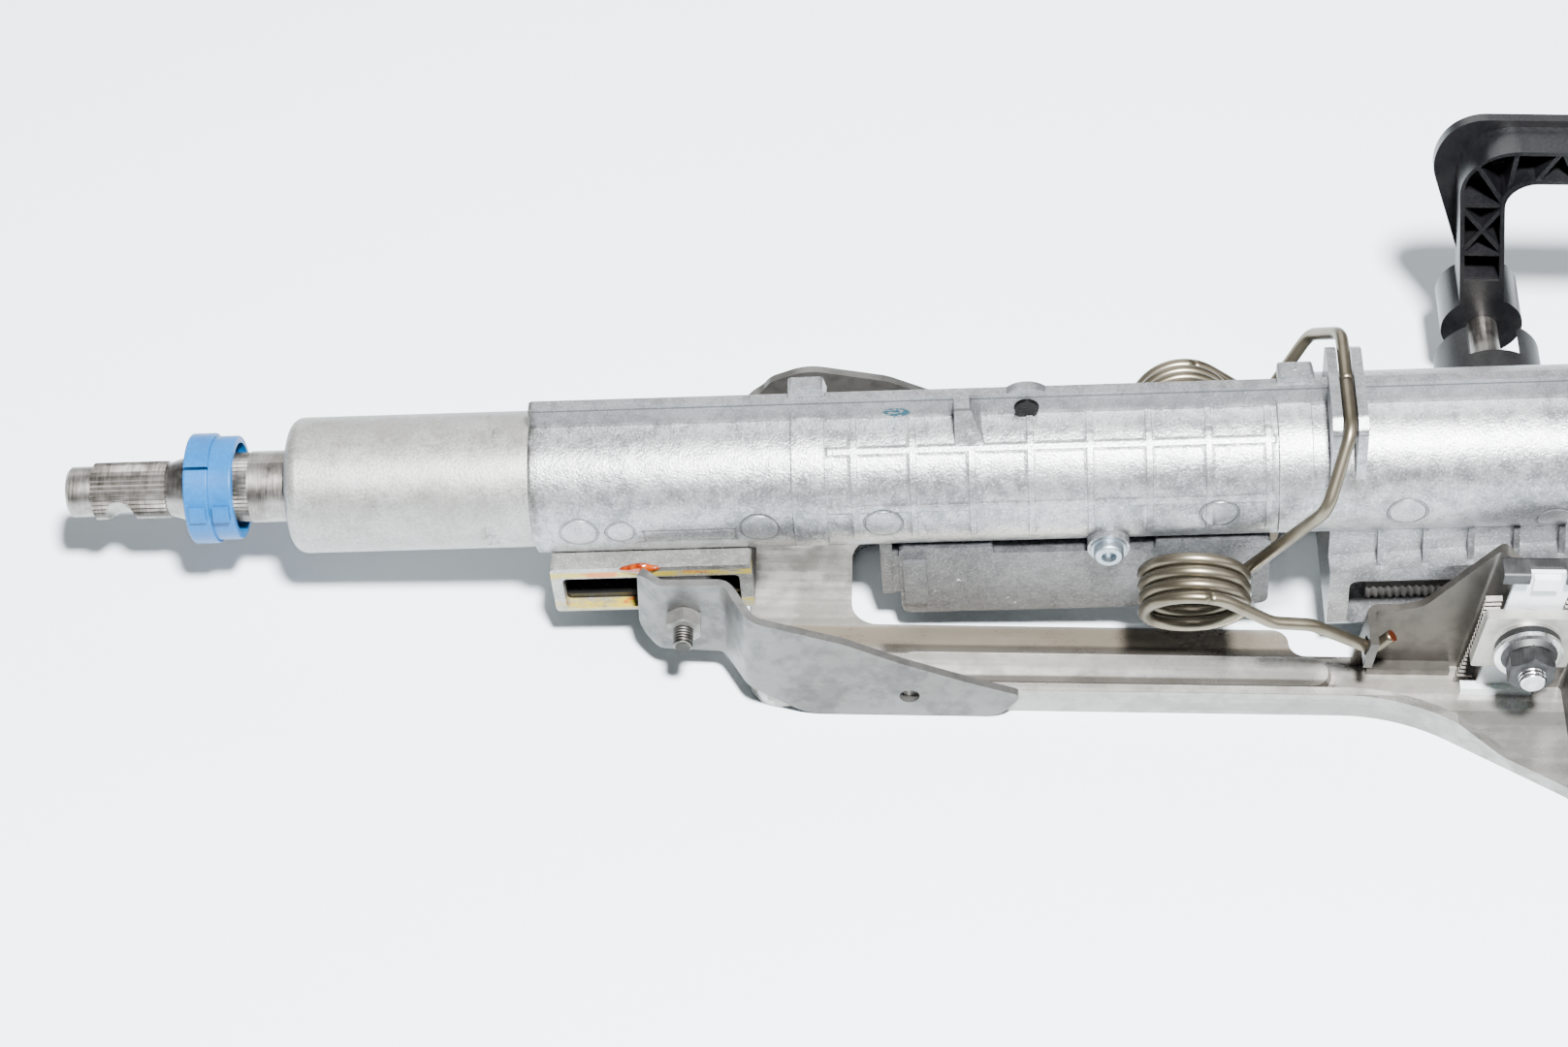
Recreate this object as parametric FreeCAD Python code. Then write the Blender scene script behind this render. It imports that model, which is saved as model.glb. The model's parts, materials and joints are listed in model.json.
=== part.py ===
"""Steering column with manual tilt and reach adjustment, millimetres, +Z up.

X runs along the bracket towards the steering wheel, Y across it and Z away from the face it is bolted
to. The origin lies on that face, in the middle of the front cross plate. The column lies on its own
tilted axis: u along it, v across (the same as Y) and w away from it.
"""
import FreeCAD, Part
import math
import os

os.makedirs("parts", exist_ok=True)
Vector = FreeCAD.Vector
ALONG, ACROSS, UP = Vector(1, 0, 0), Vector(0, 1, 0), Vector(0, 0, 1)
NEAR, FAR = -1, 1

# Fits: radial play of what turns or slides, and the hair left between seated curved faces
RUNNING = 0.06
SEATED = 0.04
FREE = 0.3

# The column's axis over the bracket
COLUMN_TILT = 3.8
AXIS_HEIGHT = 54.5

# Travel: whole teeth of the two racks, and the lever's swing with the stroke of its cam
REACH_PITCH = 2.15
TILT_PITCH = 2.0
TILT_UP_COUNT, TILT_DOWN_COUNT = 2, 5
CLAMP_STROKE = 1.3

# Front pivot on the column's axes, and its slider, stud and nut
PIVOT_U, PIVOT_W = -34.6, -23.7
SLIDER_LENGTH = 16.0
SLIDER_FLANGE = 4.6
STUD_R = 3.0
STUD_SHOULDER_R = 3.6
STUD_INSIDE = 18.0
STUD_OUTSIDE = 10.2
PIVOT_NUT_FLATS = 10.0
PIVOT_NUT_HEIGHT = 5.2

# Clamp bolt on the column's axes
CLAMP_U, CLAMP_W = 213.5, -36.7
CLAMP_BOLT_R = 4.0
CLAMP_NUT_FLATS = 13.0
CLAMP_NUT_HEIGHT = 7.4
CLAMP_NUT_SKIRT = 1.6
BOLT_TIP = 3.0
BOLT_HEAD_R = 6.4
BOLT_HEAD_HEIGHT = 5.0

# Cast casing
CASING_FRONT, CASING_BACK = -78.0, 330.0
CASING_R = 22.4
CASING_BORE_R = 17.0
WALL_TOP = 31.3
WALL_THICKNESS = 2.8
BULGE_R = 24.8
BULGE_ARC = 110.0
PAD_HEIGHT = 1.1
PAD_WIDTH = 10.0
PAD_ARC, RIB_ARC = 112.0, 105.0
PAD_PLACES = (-0.5, 141.0)
RIB_PITCH = 17.2
RIB_FIRST = 17.8
RIB_COUNT = 8
RIB_WIDTH = 2.6
RIB_HEIGHT = 0.45
RIB_LINES = (17.0, 62.0)
EAR_U, EAR_W = 68.6, 25.2
EAR_R = 8.3
EAR_HOLE_R = 3.45
GUSSET_U = 47.6
GUSSET_BASE, GUSSET_TIP = 9.4, 4.4
GUSSET_DEPTH = 10.5
TAB_HEIGHT = 3.4
TAB_DEPTH = 5.0
FIN_THICKNESS = 2.9
FIN_NEAR, FIN_FAR = -18.6, 15.5
BOW_U, BOW_W = 160.7, 32.4
BOW_CLEARANCE = 0.3
FLANGE_R = 28.0
FLANGE_LENGTH = 9.0
FLANGE_HOLE_COUNT = 4
FLANGE_HOLE_R = 2.1
FLANGE_PCD = 48.0
SCREW_BOSS_U = 91.6
SCREW_BOSS_R = 6.2
SCREW_BOSS_OUT = 23.4
SCREW_R = 2.9
SCREW_HEAD_R = 4.4
SCREW_HEAD_HEIGHT = 3.4
SCREW_LENGTH = 16.0
SCREW_DROP = 12.0

# Jacket tube and the two ball bearings
TUBE_FRONT, TUBE_INSIDE = -151.5, 56.0
TUBE_R = 20.4
TUBE_WALL = 2.0
TUBE_CORNER = 6.5
TUBE_MOUTH_R = 12.2
BEARING_LENGTH = 9.0
RACE_THICKNESS = 2.5
BALL_R = 1.9
BALL_COUNT = 10
LOWER_BEARING_SETBACK = 3.5
UPPER_BEARING_SETBACK = 6.0
CIRCLIP_THICKNESS = 1.5
CIRCLIP_DEPTH = 1.4
CIRCLIP_OPENING = 40.0

# Shafts
SPLINE_TIP = -220.0
NOSE_LENGTH, NOSE_R = 8.0, 7.6
SPLINE_LENGTH = 22.5
SPLINE_R, SPLINE_DEPTH, SPLINE_COUNT = 8.6, 0.7, 36
GROOVE_FROM_TIP = 16.0
GROOVE_R = 4.6
GROOVE_OFFSET = 9.6
GROOVE_TURN = -28.0
NECK_LENGTH = 6.5
KNURL_LENGTH = 19.0
KNURL_R, KNURL_DEPTH, KNURL_COUNT = 10.4, 0.45, 48
SHAFT_R = 10.75
SHAFT_TONGUE_R = 8.0
SHAFT_TONGUE_END = 40.0
SHAFT_TONGUE_START = -30.0
WHEEL_TAPER_LENGTH = 14.0
WHEEL_SPLINE_LENGTH = 26.0
WHEEL_THREAD_LENGTH = 16.0
WHEEL_THREAD_R = 7.0
WHEEL_END_GAP = 3.0

# Blue ring on the lower shaft
RING_FRONT = -182.0
RING_LENGTH = 14.5
RING_R = 16.6
RING_STEP = 1.0
RING_WALL = 2.1
RING_TAB_ARC = 34.0
RING_TAB_HEIGHT = 1.1
RING_TAB_LENGTH = 5.0
RING_SPLIT = 1.0

# Steering lock
LOCK_FRONT, LOCK_BACK = 29.5, 139.5
LOCK_NEAR, LOCK_FAR = -19.5, 14.0
LOCK_TOP, LOCK_BOTTOM = -14.5, -44.5
LOCK_COVER_THICKNESS = 4.2
LOCK_BOLT_U = 66.0
LOCK_BOLT_SIZE = 7.0
LOCK_BOLT_LENGTH = 21.0
LOCK_RING_R = 16.0
LOCK_RING_WIDTH = 14.0
LOCK_SLOT_COUNT = 8
LOCK_SLOT_WIDTH = 8.0
LOCK_SLOT_DEPTH = 4.0

# Slotted guide of the front pivot
GUIDE_FRONT, GUIDE_BACK = -74.3, -14.2
GUIDE_HALF_WIDTH = 25.5
GUIDE_TOP, GUIDE_BOTTOM = -12.3, -32.0
GUIDE_SLOT_FRONT, GUIDE_SLOT_BACK = -71.0, -18.0
GUIDE_SLOT_HEIGHT = 10.0
GUIDE_SLOT_DEPTH = 9.0
GUIDE_RECESS_HEIGHT = 13.6
GUIDE_RECESS_DEPTH = 4.0
GUIDE_SLOT_CORNER = 1.6

# Rack housing under the casing, with its window for the clamp bolt
HOUSING_FRONT, HOUSING_BACK = CLAMP_U - 56.5, CLAMP_U + 36.5
HOUSING_HALF_WIDTH = 24.0
HOUSING_BOTTOM = -53.0
HOUSING_SHOULDER_FRONT, HOUSING_SHOULDER_BACK = -25.8, -20.5
HOUSING_NECK_HALF = 17.0
HOUSING_CORNER = 5.0
WINDOW_FRONT, WINDOW_BACK = CLAMP_U - 50.5, CLAMP_U + 30.5
WINDOW_TOP, WINDOW_BOTTOM = -30.0, -50.0
WINDOW_CORNER = 2.5
TOP_RIB_COUNT = 6
TOP_RIB_PITCH = 13.2
TOP_RIB_WIDTH = 1.8
REACH_RACK_HALF = 14.5
REACH_RACK_HEIGHT = 4.7
REACH_TOOTH_DEPTH = 1.1
REACH_RACK_COUNT = 33
REACH_AHEAD_COUNT = 21

# Mounting bracket
SHEET = 3.0
BRACKET_FRONT, BRACKET_BACK = -14.0, 286.0
FLANGE_Y = 47.0
FLANGE_TOP = 10.0
WING_RIM_TOP = 4.6
RIM_STEP_X, RIM_STEP_LENGTH = 197.0, 13.0
FLANGE_END = 181.0
WING_Y = 92.0
WING_FRONT = 244.0
WINDOW_HALF = 17.0
BRACKET_WINDOW_FRONT = 17.0
BRACKET_WINDOW_STEP = 150.0
BRACKET_WINDOW_BACK = 255.0
BEAD_FRONT, BEAD_BACK = 30.0, 162.0
BEAD_Y, BEAD_WIDTH = 34.5, 13.0
BEAD_HEIGHT = 2.2
FRONT_BOLT_SPACING = 66.0
REAR_BOLT_SPACING = 156.0
REAR_BOLT_X = 266.0
BOLT_HOLE_R = 4.4
EAR_PLATE_TOP = 30.0

# Pivot arms welded outside the bracket's flanges
ARM_SHEET = 2.5
ARM_EYE_Y = 36.0
ARM_BACK = 68.0
ARM_FRONT = -46.0
ARM_JOGGLE = (-20.5, -12.5)
ARM_CURL = 5.2
ARM_BEND = 5.0
ARM_HOLE_X, ARM_HOLE_Z = 34.5, 9.6
ARM_HOLE_R = 3.0

# Clamp cheeks with their tilt racks
CHEEK_SHEET = 2.5
CHEEK_Y = 30.0
RACK_PLATE_Y = 37.5
TAB_X = 171.5
TAB_REACH = 43.0
TAB_BOTTOM = 18.5
CHEEK_LOW_TOP = 29.5
CHEEK_TOP = 59.5
CHEEK_BEND_X = CLAMP_U - 10.0
CLAMP_LEAN = 5.0
GUSSET_X = CLAMP_U + 21.0
GUSSET_REACH = 70.0
CHEEK_BEND = 2.6
TILT_RACK_WIDTH = 4.8
TILT_RACK_HALF = 14.2
TILT_TOOTH_DEPTH = 1.1
TILT_ABOVE_COUNT, TILT_BELOW_COUNT = 7, 12
TILT_BLOCK_HALF_HEIGHT = 11.3
TILT_BLOCK_BODY = 3.5
HOOK_HOLE_R = 3.0
HOOK_HOLE_Y, HOOK_HOLE_Z = 38.9, 24.0

# Washers of the clamp, from the block outwards, and the white guide behind the block
WASHER_R = 9.8
WASHER_THICKNESS = 1.2
THRUST_THICKNESS = 2.4
FLANGE_WASHER_THICKNESS = 1.4
GUIDE_SHEET = 1.2
GUIDE_PLATE_HALF = 8.3
GUIDE_FOOT_HEIGHT, GUIDE_FOOT_AHEAD = 2.8, 4.6
GUIDE_NUB_WIDTH = 7.6
GUIDE_NUB_HEIGHT = 5.0
GUIDE_NUB_OUT = 3.2
CLIP_SHEET = 1.0
CLIP_LENGTH = 26.0
CLIP_DROP = 6.5
CLIP_TAB_HALF = 5.2

# Cam and lever on the far side
CAM_WASHER_THICKNESS = 1.6
FIXED_CAM_THICKNESS = 8.0
CAM_GAP = 1.8
MOVING_CAM_THICKNESS = 6.5
CAM_R = 13.5
CAM_LOBE_COUNT = 3
CAM_LOBE_HEIGHT = 0.3
COLLAR_R = 4.8
COVER_R = 16.4
COVER_WALL = 1.8
COVER_BEHIND, COVER_AHEAD = 3.0, 9.0
COVER_WINDOW = 62.0
HUB_FRONT_Y, HUB_BACK_Y = 84.0, 103.0
HUB_R = 12.8
LEVER_DEPTH = 14.0
LEVER_SKIN = 2.2
LEVER_RIB = 1.5
LEVER_ARM_HALF = 6.9
LEVER_CROSS_RIBS = (21.0, 32.0, 53.0)
LEVER_BAY = 13.0
HANDLE_LOW, HANDLE_TOP = 63.0, 76.4
HANDLE_END = 117.0
LEVER_LEAN = 8.0
LEVER_INNER_BEND = 9.0
BRIM_START, BRIM_TOP = 24.0, 79.0
BRIM_OUT = 6.0
BRIM_DEPTH = 3.0

# Balance spring: one wire with two coils, a leg hooked in each cheek and a bow over the casing
WIRE_R = 1.9
COIL_R = 15.0
COIL_PITCH = 3.95
COIL_X, COIL_Y, COIL_Z = 117.5, 36.0, 41.5
COIL_DROOP = 19.0
COIL_INNER, COIL_OUTER = -9.5, 5.4
COIL_START, COIL_STEP = 332.0, 12.0
LEG_BEND = 9.0
HOOK_LEG = ((139.7, 44.5, 41.2), (151.5, 43.5, 39.2), (171.9, 38.5, 21.8), (177.0, 38.0, 27.8))
BOW_KNEE = (152.0, 34.5, 80.2)
SPRING_LEG_START = (130.7, 28.5, 38.0)
BOW_HALF = 19.0

# Foam pad on the far arm
FOAM_X = 43.0
FOAM_LENGTH, FOAM_HEIGHT, FOAM_THICKNESS = 14.0, 5.0, 6.0


def plan(a, b, c=0.0):
    """Point of an outline seen from above, at height c."""
    return Vector(a, b, c)


def side(a, b, c=0.0):
    """Point of an outline seen from the side, at c across."""
    return Vector(a, c, b)


def end(a, b, c=0.0):
    """Point of an outline seen along the column, at c along it."""
    return Vector(c, a, b)


NORMALS = {plan: UP, side: ACROSS, end: ALONG}


def unit(a, b):
    length = math.hypot(a, b)
    return a / length, b / length


def outline(corners, plane, level=0.0):
    """Closed wire through the corners; a corner's third value rounds it with an arc of that radius."""
    pieces = []
    for i, corner in enumerate(corners):
        before, after = corners[i - 1], corners[(i + 1) % len(corners)]
        a, b = corner[0], corner[1]
        radius = corner[2] if len(corner) > 2 else 0.0
        if radius <= 0:
            pieces.append(((a, b), None, (a, b)))
            continue
        back = unit(before[0] - a, before[1] - b)
        ahead = unit(after[0] - a, after[1] - b)
        half = math.acos(max(-1.0, min(1.0, back[0] * ahead[0] + back[1] * ahead[1]))) / 2
        room = min(math.hypot(before[0] - a, before[1] - b), math.hypot(after[0] - a, after[1] - b)) * 0.495
        reach = min(radius / math.tan(half), room)
        radius = reach * math.tan(half)
        middle = unit(back[0] + ahead[0], back[1] + ahead[1])
        depth = radius / math.sin(half) - radius
        pieces.append(((a + back[0] * reach, b + back[1] * reach),
                       (a + middle[0] * depth, b + middle[1] * depth),
                       (a + ahead[0] * reach, b + ahead[1] * reach)))
    edges = []
    for i, (start, top, finish) in enumerate(pieces):
        if top:
            edges.append(Part.Arc(plane(*start, level), plane(*top, level), plane(*finish, level)).toShape())
        following = pieces[(i + 1) % len(pieces)][0]
        if math.dist(finish, following) > 1e-6:
            edges.append(Part.LineSegment(plane(*finish, level), plane(*following, level)).toShape())
    return Part.Wire(edges)


def slab(corners, plane, low, high):
    """Solid of an outline between two levels across its plane."""
    return Part.Face(outline(corners, plane, low)).extrude(NORMALS[plane] * (high - low))


def box(a, b):
    """Box between two opposite corners."""
    low = Vector(min(a[0], b[0]), min(a[1], b[1]), min(a[2], b[2]))
    return Part.makeBox(abs(a[0] - b[0]), abs(a[1] - b[1]), abs(a[2] - b[2]), low)


def strip(path, thickness, bend):
    """Corners of a bent strip of even thickness along a path; bend is its middle radius."""
    left, right = [], []
    for i, (a, b) in enumerate(path):
        ahead = unit(path[i + 1][0] - a, path[i + 1][1] - b) if i + 1 < len(path) else None
        behind = unit(a - path[i - 1][0], b - path[i - 1][1]) if i else ahead
        ahead = ahead or behind
        mitre = (-behind[1] - ahead[1], behind[0] + ahead[0])
        scale = thickness / 2 / (1 + behind[0] * ahead[0] + behind[1] * ahead[1])
        turn = behind[0] * ahead[1] - behind[1] * ahead[0]
        inner = 0.0 if abs(turn) < 1e-9 else math.copysign(thickness / 2, turn)
        sharp = abs(turn) < 1e-9
        left.append((a + mitre[0] * scale, b + mitre[1] * scale, 0.0 if sharp else bend - inner))
        right.append((a - mitre[0] * scale, b - mitre[1] * scale, 0.0 if sharp else bend + inner))
    return left + right[::-1]


def turned(corners, sweep=360.0, start=0.0):
    """Solid of revolution about the column's axis; corners are (u, radius)."""
    shape = Part.Face(outline(corners, side)).revolve(Vector(), ALONG, sweep)
    shape.rotate(Vector(), ALONG, start)
    return shape


def rod(start, direction, radius, length, bore=0.0):
    """Round bar or ring from a point along a direction."""
    shape = Part.makeCylinder(radius, length, start, direction)
    if bore > 0:
        shape = shape.cut(Part.makeCylinder(bore, length, start, direction))
    return shape


def hexagon(start, direction, flats, length, bore=0.0):
    """Hexagonal bar or nut with chamfered ends, its flats upright."""
    corner_r = flats / math.sqrt(3)
    points = [(corner_r * math.cos(math.radians(60 * i)), corner_r * math.sin(math.radians(60 * i)))
              for i in range(6)]
    shape = slab(points, plan, 0, length)
    chamfer = corner_r - flats / 2
    cone = turned([(0, 0), (0, flats / 2), (chamfer * 0.6, corner_r), (length - chamfer * 0.6, corner_r),
                   (length, flats / 2), (length, 0)])
    cone.rotate(Vector(), ACROSS, -90)
    shape = shape.common(cone)
    shape.rotate(Vector(), UP, 90)
    if bore > 0:
        shape = shape.cut(Part.makeCylinder(bore, length))
    shape.Placement = FreeCAD.Placement(start, FreeCAD.Rotation(UP, direction)).multiply(shape.Placement)
    return shape


def star(radius, depth, teeth, start, length):
    """Splined bar about the column's axis."""
    points = []
    for i in range(teeth):
        for share, r in ((0.0, radius), (0.5, radius - depth)):
            angle = math.radians(360 * (i + share) / teeth)
            points.append((r * math.cos(angle), r * math.sin(angle)))
    return slab(points, end, start, start + length)


def fuse(*shapes):
    """One clean solid out of several."""
    result = shapes[0].multiFuse(list(shapes[1:])) if len(shapes) > 1 else shapes[0]
    return result.removeSplitter()


def on_column(shape):
    """Shape moved from the column's own axes to the bracket's."""
    moved = shape.copy()
    moved.rotate(Vector(), ACROSS, -COLUMN_TILT)
    moved.translate(Vector(0, 0, AXIS_HEIGHT))
    return moved


def column_point(u, v, w):
    return FreeCAD.Rotation(ACROSS, -COLUMN_TILT).multVec(Vector(u, v, w)) + Vector(0, 0, AXIS_HEIGHT)


def mirrored(shape):
    """The same piece on the far side."""
    return shape.mirror(Vector(), ACROSS)


def save(name, *solids):
    shape = solids[0] if len(solids) == 1 else Part.makeCompound(list(solids))
    shape.exportStep("parts/" + name + ".step")


PIVOT = column_point(PIVOT_U, 0, PIVOT_W)
CLAMP = column_point(CLAMP_U, 0, CLAMP_W)
ARC_R = math.hypot(CLAMP.x - PIVOT.x, CLAMP.z - PIVOT.z)
ARC_LIFT = math.degrees(math.atan2(CLAMP.z - PIVOT.z, CLAMP.x - PIVOT.x))
TILT_TOOTH_ANGLE = math.degrees(TILT_PITCH / ARC_R)
LEAN = math.tan(math.radians(CLAMP_LEAN))
SPLINE_START = SPLINE_TIP + NOSE_LENGTH
KNURL_START = SPLINE_START + SPLINE_LENGTH + NECK_LENGTH
SHAFT_START = KNURL_START + KNURL_LENGTH
LOWER_BEARING = TUBE_FRONT + TUBE_WALL + LOWER_BEARING_SETBACK
UPPER_BEARING = CASING_BACK - UPPER_BEARING_SETBACK - BEARING_LENGTH
BEARING_R = TUBE_R - TUBE_WALL - SEATED
TUBE_BACK = CASING_FRONT + TUBE_INSIDE
RACK_FACE = RACK_PLATE_Y + TILT_TOOTH_DEPTH
TILT_BLOCK_FACE = RACK_FACE + FREE + TILT_TOOTH_DEPTH + TILT_BLOCK_BODY


def mounting_bracket():
    """Pressed sheet: two rails with raised beads, turned-up edges, a cross plate and two bolt wings."""
    half = [(BRACKET_FRONT, 0), (BRACKET_FRONT, FLANGE_Y, 10), (FLANGE_END, FLANGE_Y, 60),
            (WING_FRONT - 15, WING_Y - 15.5, 20), (WING_FRONT, WING_Y, 10),
            (BRACKET_BACK, WING_Y, 9), (BRACKET_BACK, 58, 14),
            (BRACKET_BACK - 16, 44, 12), (BRACKET_BACK - 16, 0)]
    outer = half + [(x, -y, *r) for x, y, *r in half[-2:0:-1]]
    sheet = slab(outer, plan, 0, SHEET)
    rim = slab(outer, plan, 0, FLANGE_TOP)
    inner = [(BRACKET_FRONT - 1, 0), (BRACKET_FRONT - 1, FLANGE_Y - SHEET, 4),
             (FLANGE_END, FLANGE_Y - SHEET, 60),
             (WING_FRONT - 12, WING_Y - SHEET - 15.5, 20), (WING_FRONT + 2, WING_Y - SHEET, 8),
             (BRACKET_BACK + 1, WING_Y - SHEET), (BRACKET_BACK + 1, 0)]
    inner = inner + [(x, -y, *r) for x, y, *r in inner[-2:0:-1]]
    rim = rim.cut(slab(inner, plan, -1, FLANGE_TOP + 1))
    step = [(RIM_STEP_X, FLANGE_TOP, 4), (RIM_STEP_X + RIM_STEP_LENGTH, WING_RIM_TOP, 6),
            (BRACKET_BACK + 1, WING_RIM_TOP), (BRACKET_BACK + 1, FLANGE_TOP + 1), (RIM_STEP_X,
                                                                                   FLANGE_TOP + 1)]
    rim = rim.cut(slab(step, side, -WING_Y - 1, WING_Y + 1))
    shape = sheet.fuse(rim)
    for hand in (NEAR, FAR):
        y = hand * BEAD_Y
        for rise, grow in ((BEAD_HEIGHT, 0.0), (BEAD_HEIGHT - SHEET, -SHEET * 0.6)):
            width = BEAD_WIDTH / 2 + grow
            low = [(BEAD_FRONT - grow, y - width, width), (BEAD_BACK + grow, y - width, width),
                   (BEAD_BACK + grow, y + width, width), (BEAD_FRONT - grow, y + width, width)]
            taper = BEAD_HEIGHT * 0.5
            width = width - taper
            high = [(BEAD_FRONT - grow + taper, y - width, width),
                    (BEAD_BACK + grow - taper, y - width, width),
                    (BEAD_BACK + grow - taper, y + width, width), (BEAD_FRONT - grow + taper, y + width,
                                                                   width)]
            base = SHEET if grow == 0 else 0.0
            bead = Part.makeLoft([outline(low, plan, base), outline(high, plan, base + BEAD_HEIGHT)], True,
                                 True)
            shape = shape.fuse(bead) if grow == 0 else shape.cut(bead)
    wide = CHEEK_Y - CHEEK_SHEET - 0.5
    opening = [(BRACKET_WINDOW_FRONT, -WINDOW_HALF, 8), (BRACKET_WINDOW_STEP, -WINDOW_HALF, 6),
               (BRACKET_WINDOW_STEP, -wide, 5), (BRACKET_WINDOW_BACK, -wide, 10)]
    opening = opening + [(x, -y, r) for x, y, r in opening[::-1]]
    shape = shape.cut(slab(opening, plan, -1, SHEET + 1))
    for hand in (NEAR, FAR):
        front = Vector(0, hand * FRONT_BOLT_SPACING / 2, -1)
        shape = shape.cut(rod(front, UP, BOLT_HOLE_R, SHEET + 2))
        rear = Vector(REAR_BOLT_X, hand * REAR_BOLT_SPACING / 2, -1)
        shape = shape.cut(rod(rear, UP, BOLT_HOLE_R, SHEET + 2))
        ear = [(BRACKET_FRONT + 6, SHEET), (BRACKET_FRONT + 6, EAR_PLATE_TOP, 6), (6, EAR_PLATE_TOP - 2, 12),
               (30, FLANGE_TOP + 8, 20), (52, FLANGE_TOP - 1), (52, SHEET)]
        shape = shape.fuse(slab(ear, side, *sorted((hand * FLANGE_Y, hand * (FLANGE_Y - SHEET)))))
    shape = shape.removeSplitter()
    save("mounting_bracket", shape)


def pivot_arms():
    """Two bent arms that carry the front pivot studs."""
    middle = FLANGE_Y + ARM_SHEET / 2
    eye = ARM_EYE_Y - ARM_SHEET / 2
    path = [(ARM_FRONT, eye - ARM_CURL), (ARM_FRONT + 6, eye), (ARM_JOGGLE[0], eye),
            (ARM_JOGGLE[1], middle), (ARM_BACK + 60, middle)]
    blank = slab(strip(path, ARM_SHEET, ARM_BEND), plan, 0, AXIS_HEIGHT)
    eye_top = PIVOT.z + 15.5
    start = [(ARM_FRONT - 2, PIVOT.z - 4, 12), (ARM_FRONT + 1, PIVOT.z - 14.5, 12),
             (ARM_JOGGLE[1], PIVOT.z - 16, 12), (4, 0.4, 16)]
    near = start + [(ARM_BACK - 6, 0.4, 8), (ARM_BACK, FLANGE_TOP + 0.5, 2), (52, 16.5, 30), (32, 25, 20),
                    (14.5, 34, 14), (ARM_JOGGLE[1], 43.5, 8), (ARM_JOGGLE[0], eye_top, 8),
                    (ARM_FRONT - 2, eye_top - 1, 5)]
    far = start + [(ARM_BACK + 36, 0.4, 8), (ARM_BACK + 44, FLANGE_TOP + 0.5, 2),
                   (72, 24, 20), (45, 34.5, 24),
                   (27, 43, 16), (2, 47.5, 16), (-9, 42, 8), (ARM_JOGGLE[1], 37, 8),
                   (ARM_JOGGLE[0], eye_top - 4, 8), (ARM_FRONT - 2, eye_top - 3, 5)]
    for name, shape_of, hand in (("near_pivot_arm", near, NEAR), ("far_pivot_arm", far, FAR)):
        arm = blank.common(slab(shape_of, side, 0, FLANGE_Y * 2))
        arm = arm.cut(rod(Vector(PIVOT.x, 0, PIVOT.z), ACROSS, STUD_R + RUNNING, FLANGE_Y))
        arm = arm.cut(rod(Vector(ARM_HOLE_X, 0, ARM_HOLE_Z), ACROSS, ARM_HOLE_R, FLANGE_Y * 2))
        save(name, mirrored(arm) if hand == NEAR else arm)


def tilt_rack_teeth(low, high, root, tip, left, right):
    """Wedge teeth pointing from the root to the tip across, each on its own radius from the pivot."""
    teeth = []
    half = TILT_PITCH / 2 * 0.96
    for k in range(low, high + 1):
        lean = LEAN * k * TILT_PITCH
        near_r, far_r = ARC_R + left + lean, ARC_R + right + lean
        tooth = slab([(root, -half), (tip, 0), (root, half)], end, near_r, far_r)
        tooth.rotate(Vector(), ACROSS, -(ARC_LIFT + k * TILT_TOOTH_ANGLE))
        tooth.translate(Vector(PIVOT.x, 0, PIVOT.z))
        teeth.append(tooth)
    return teeth


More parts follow.
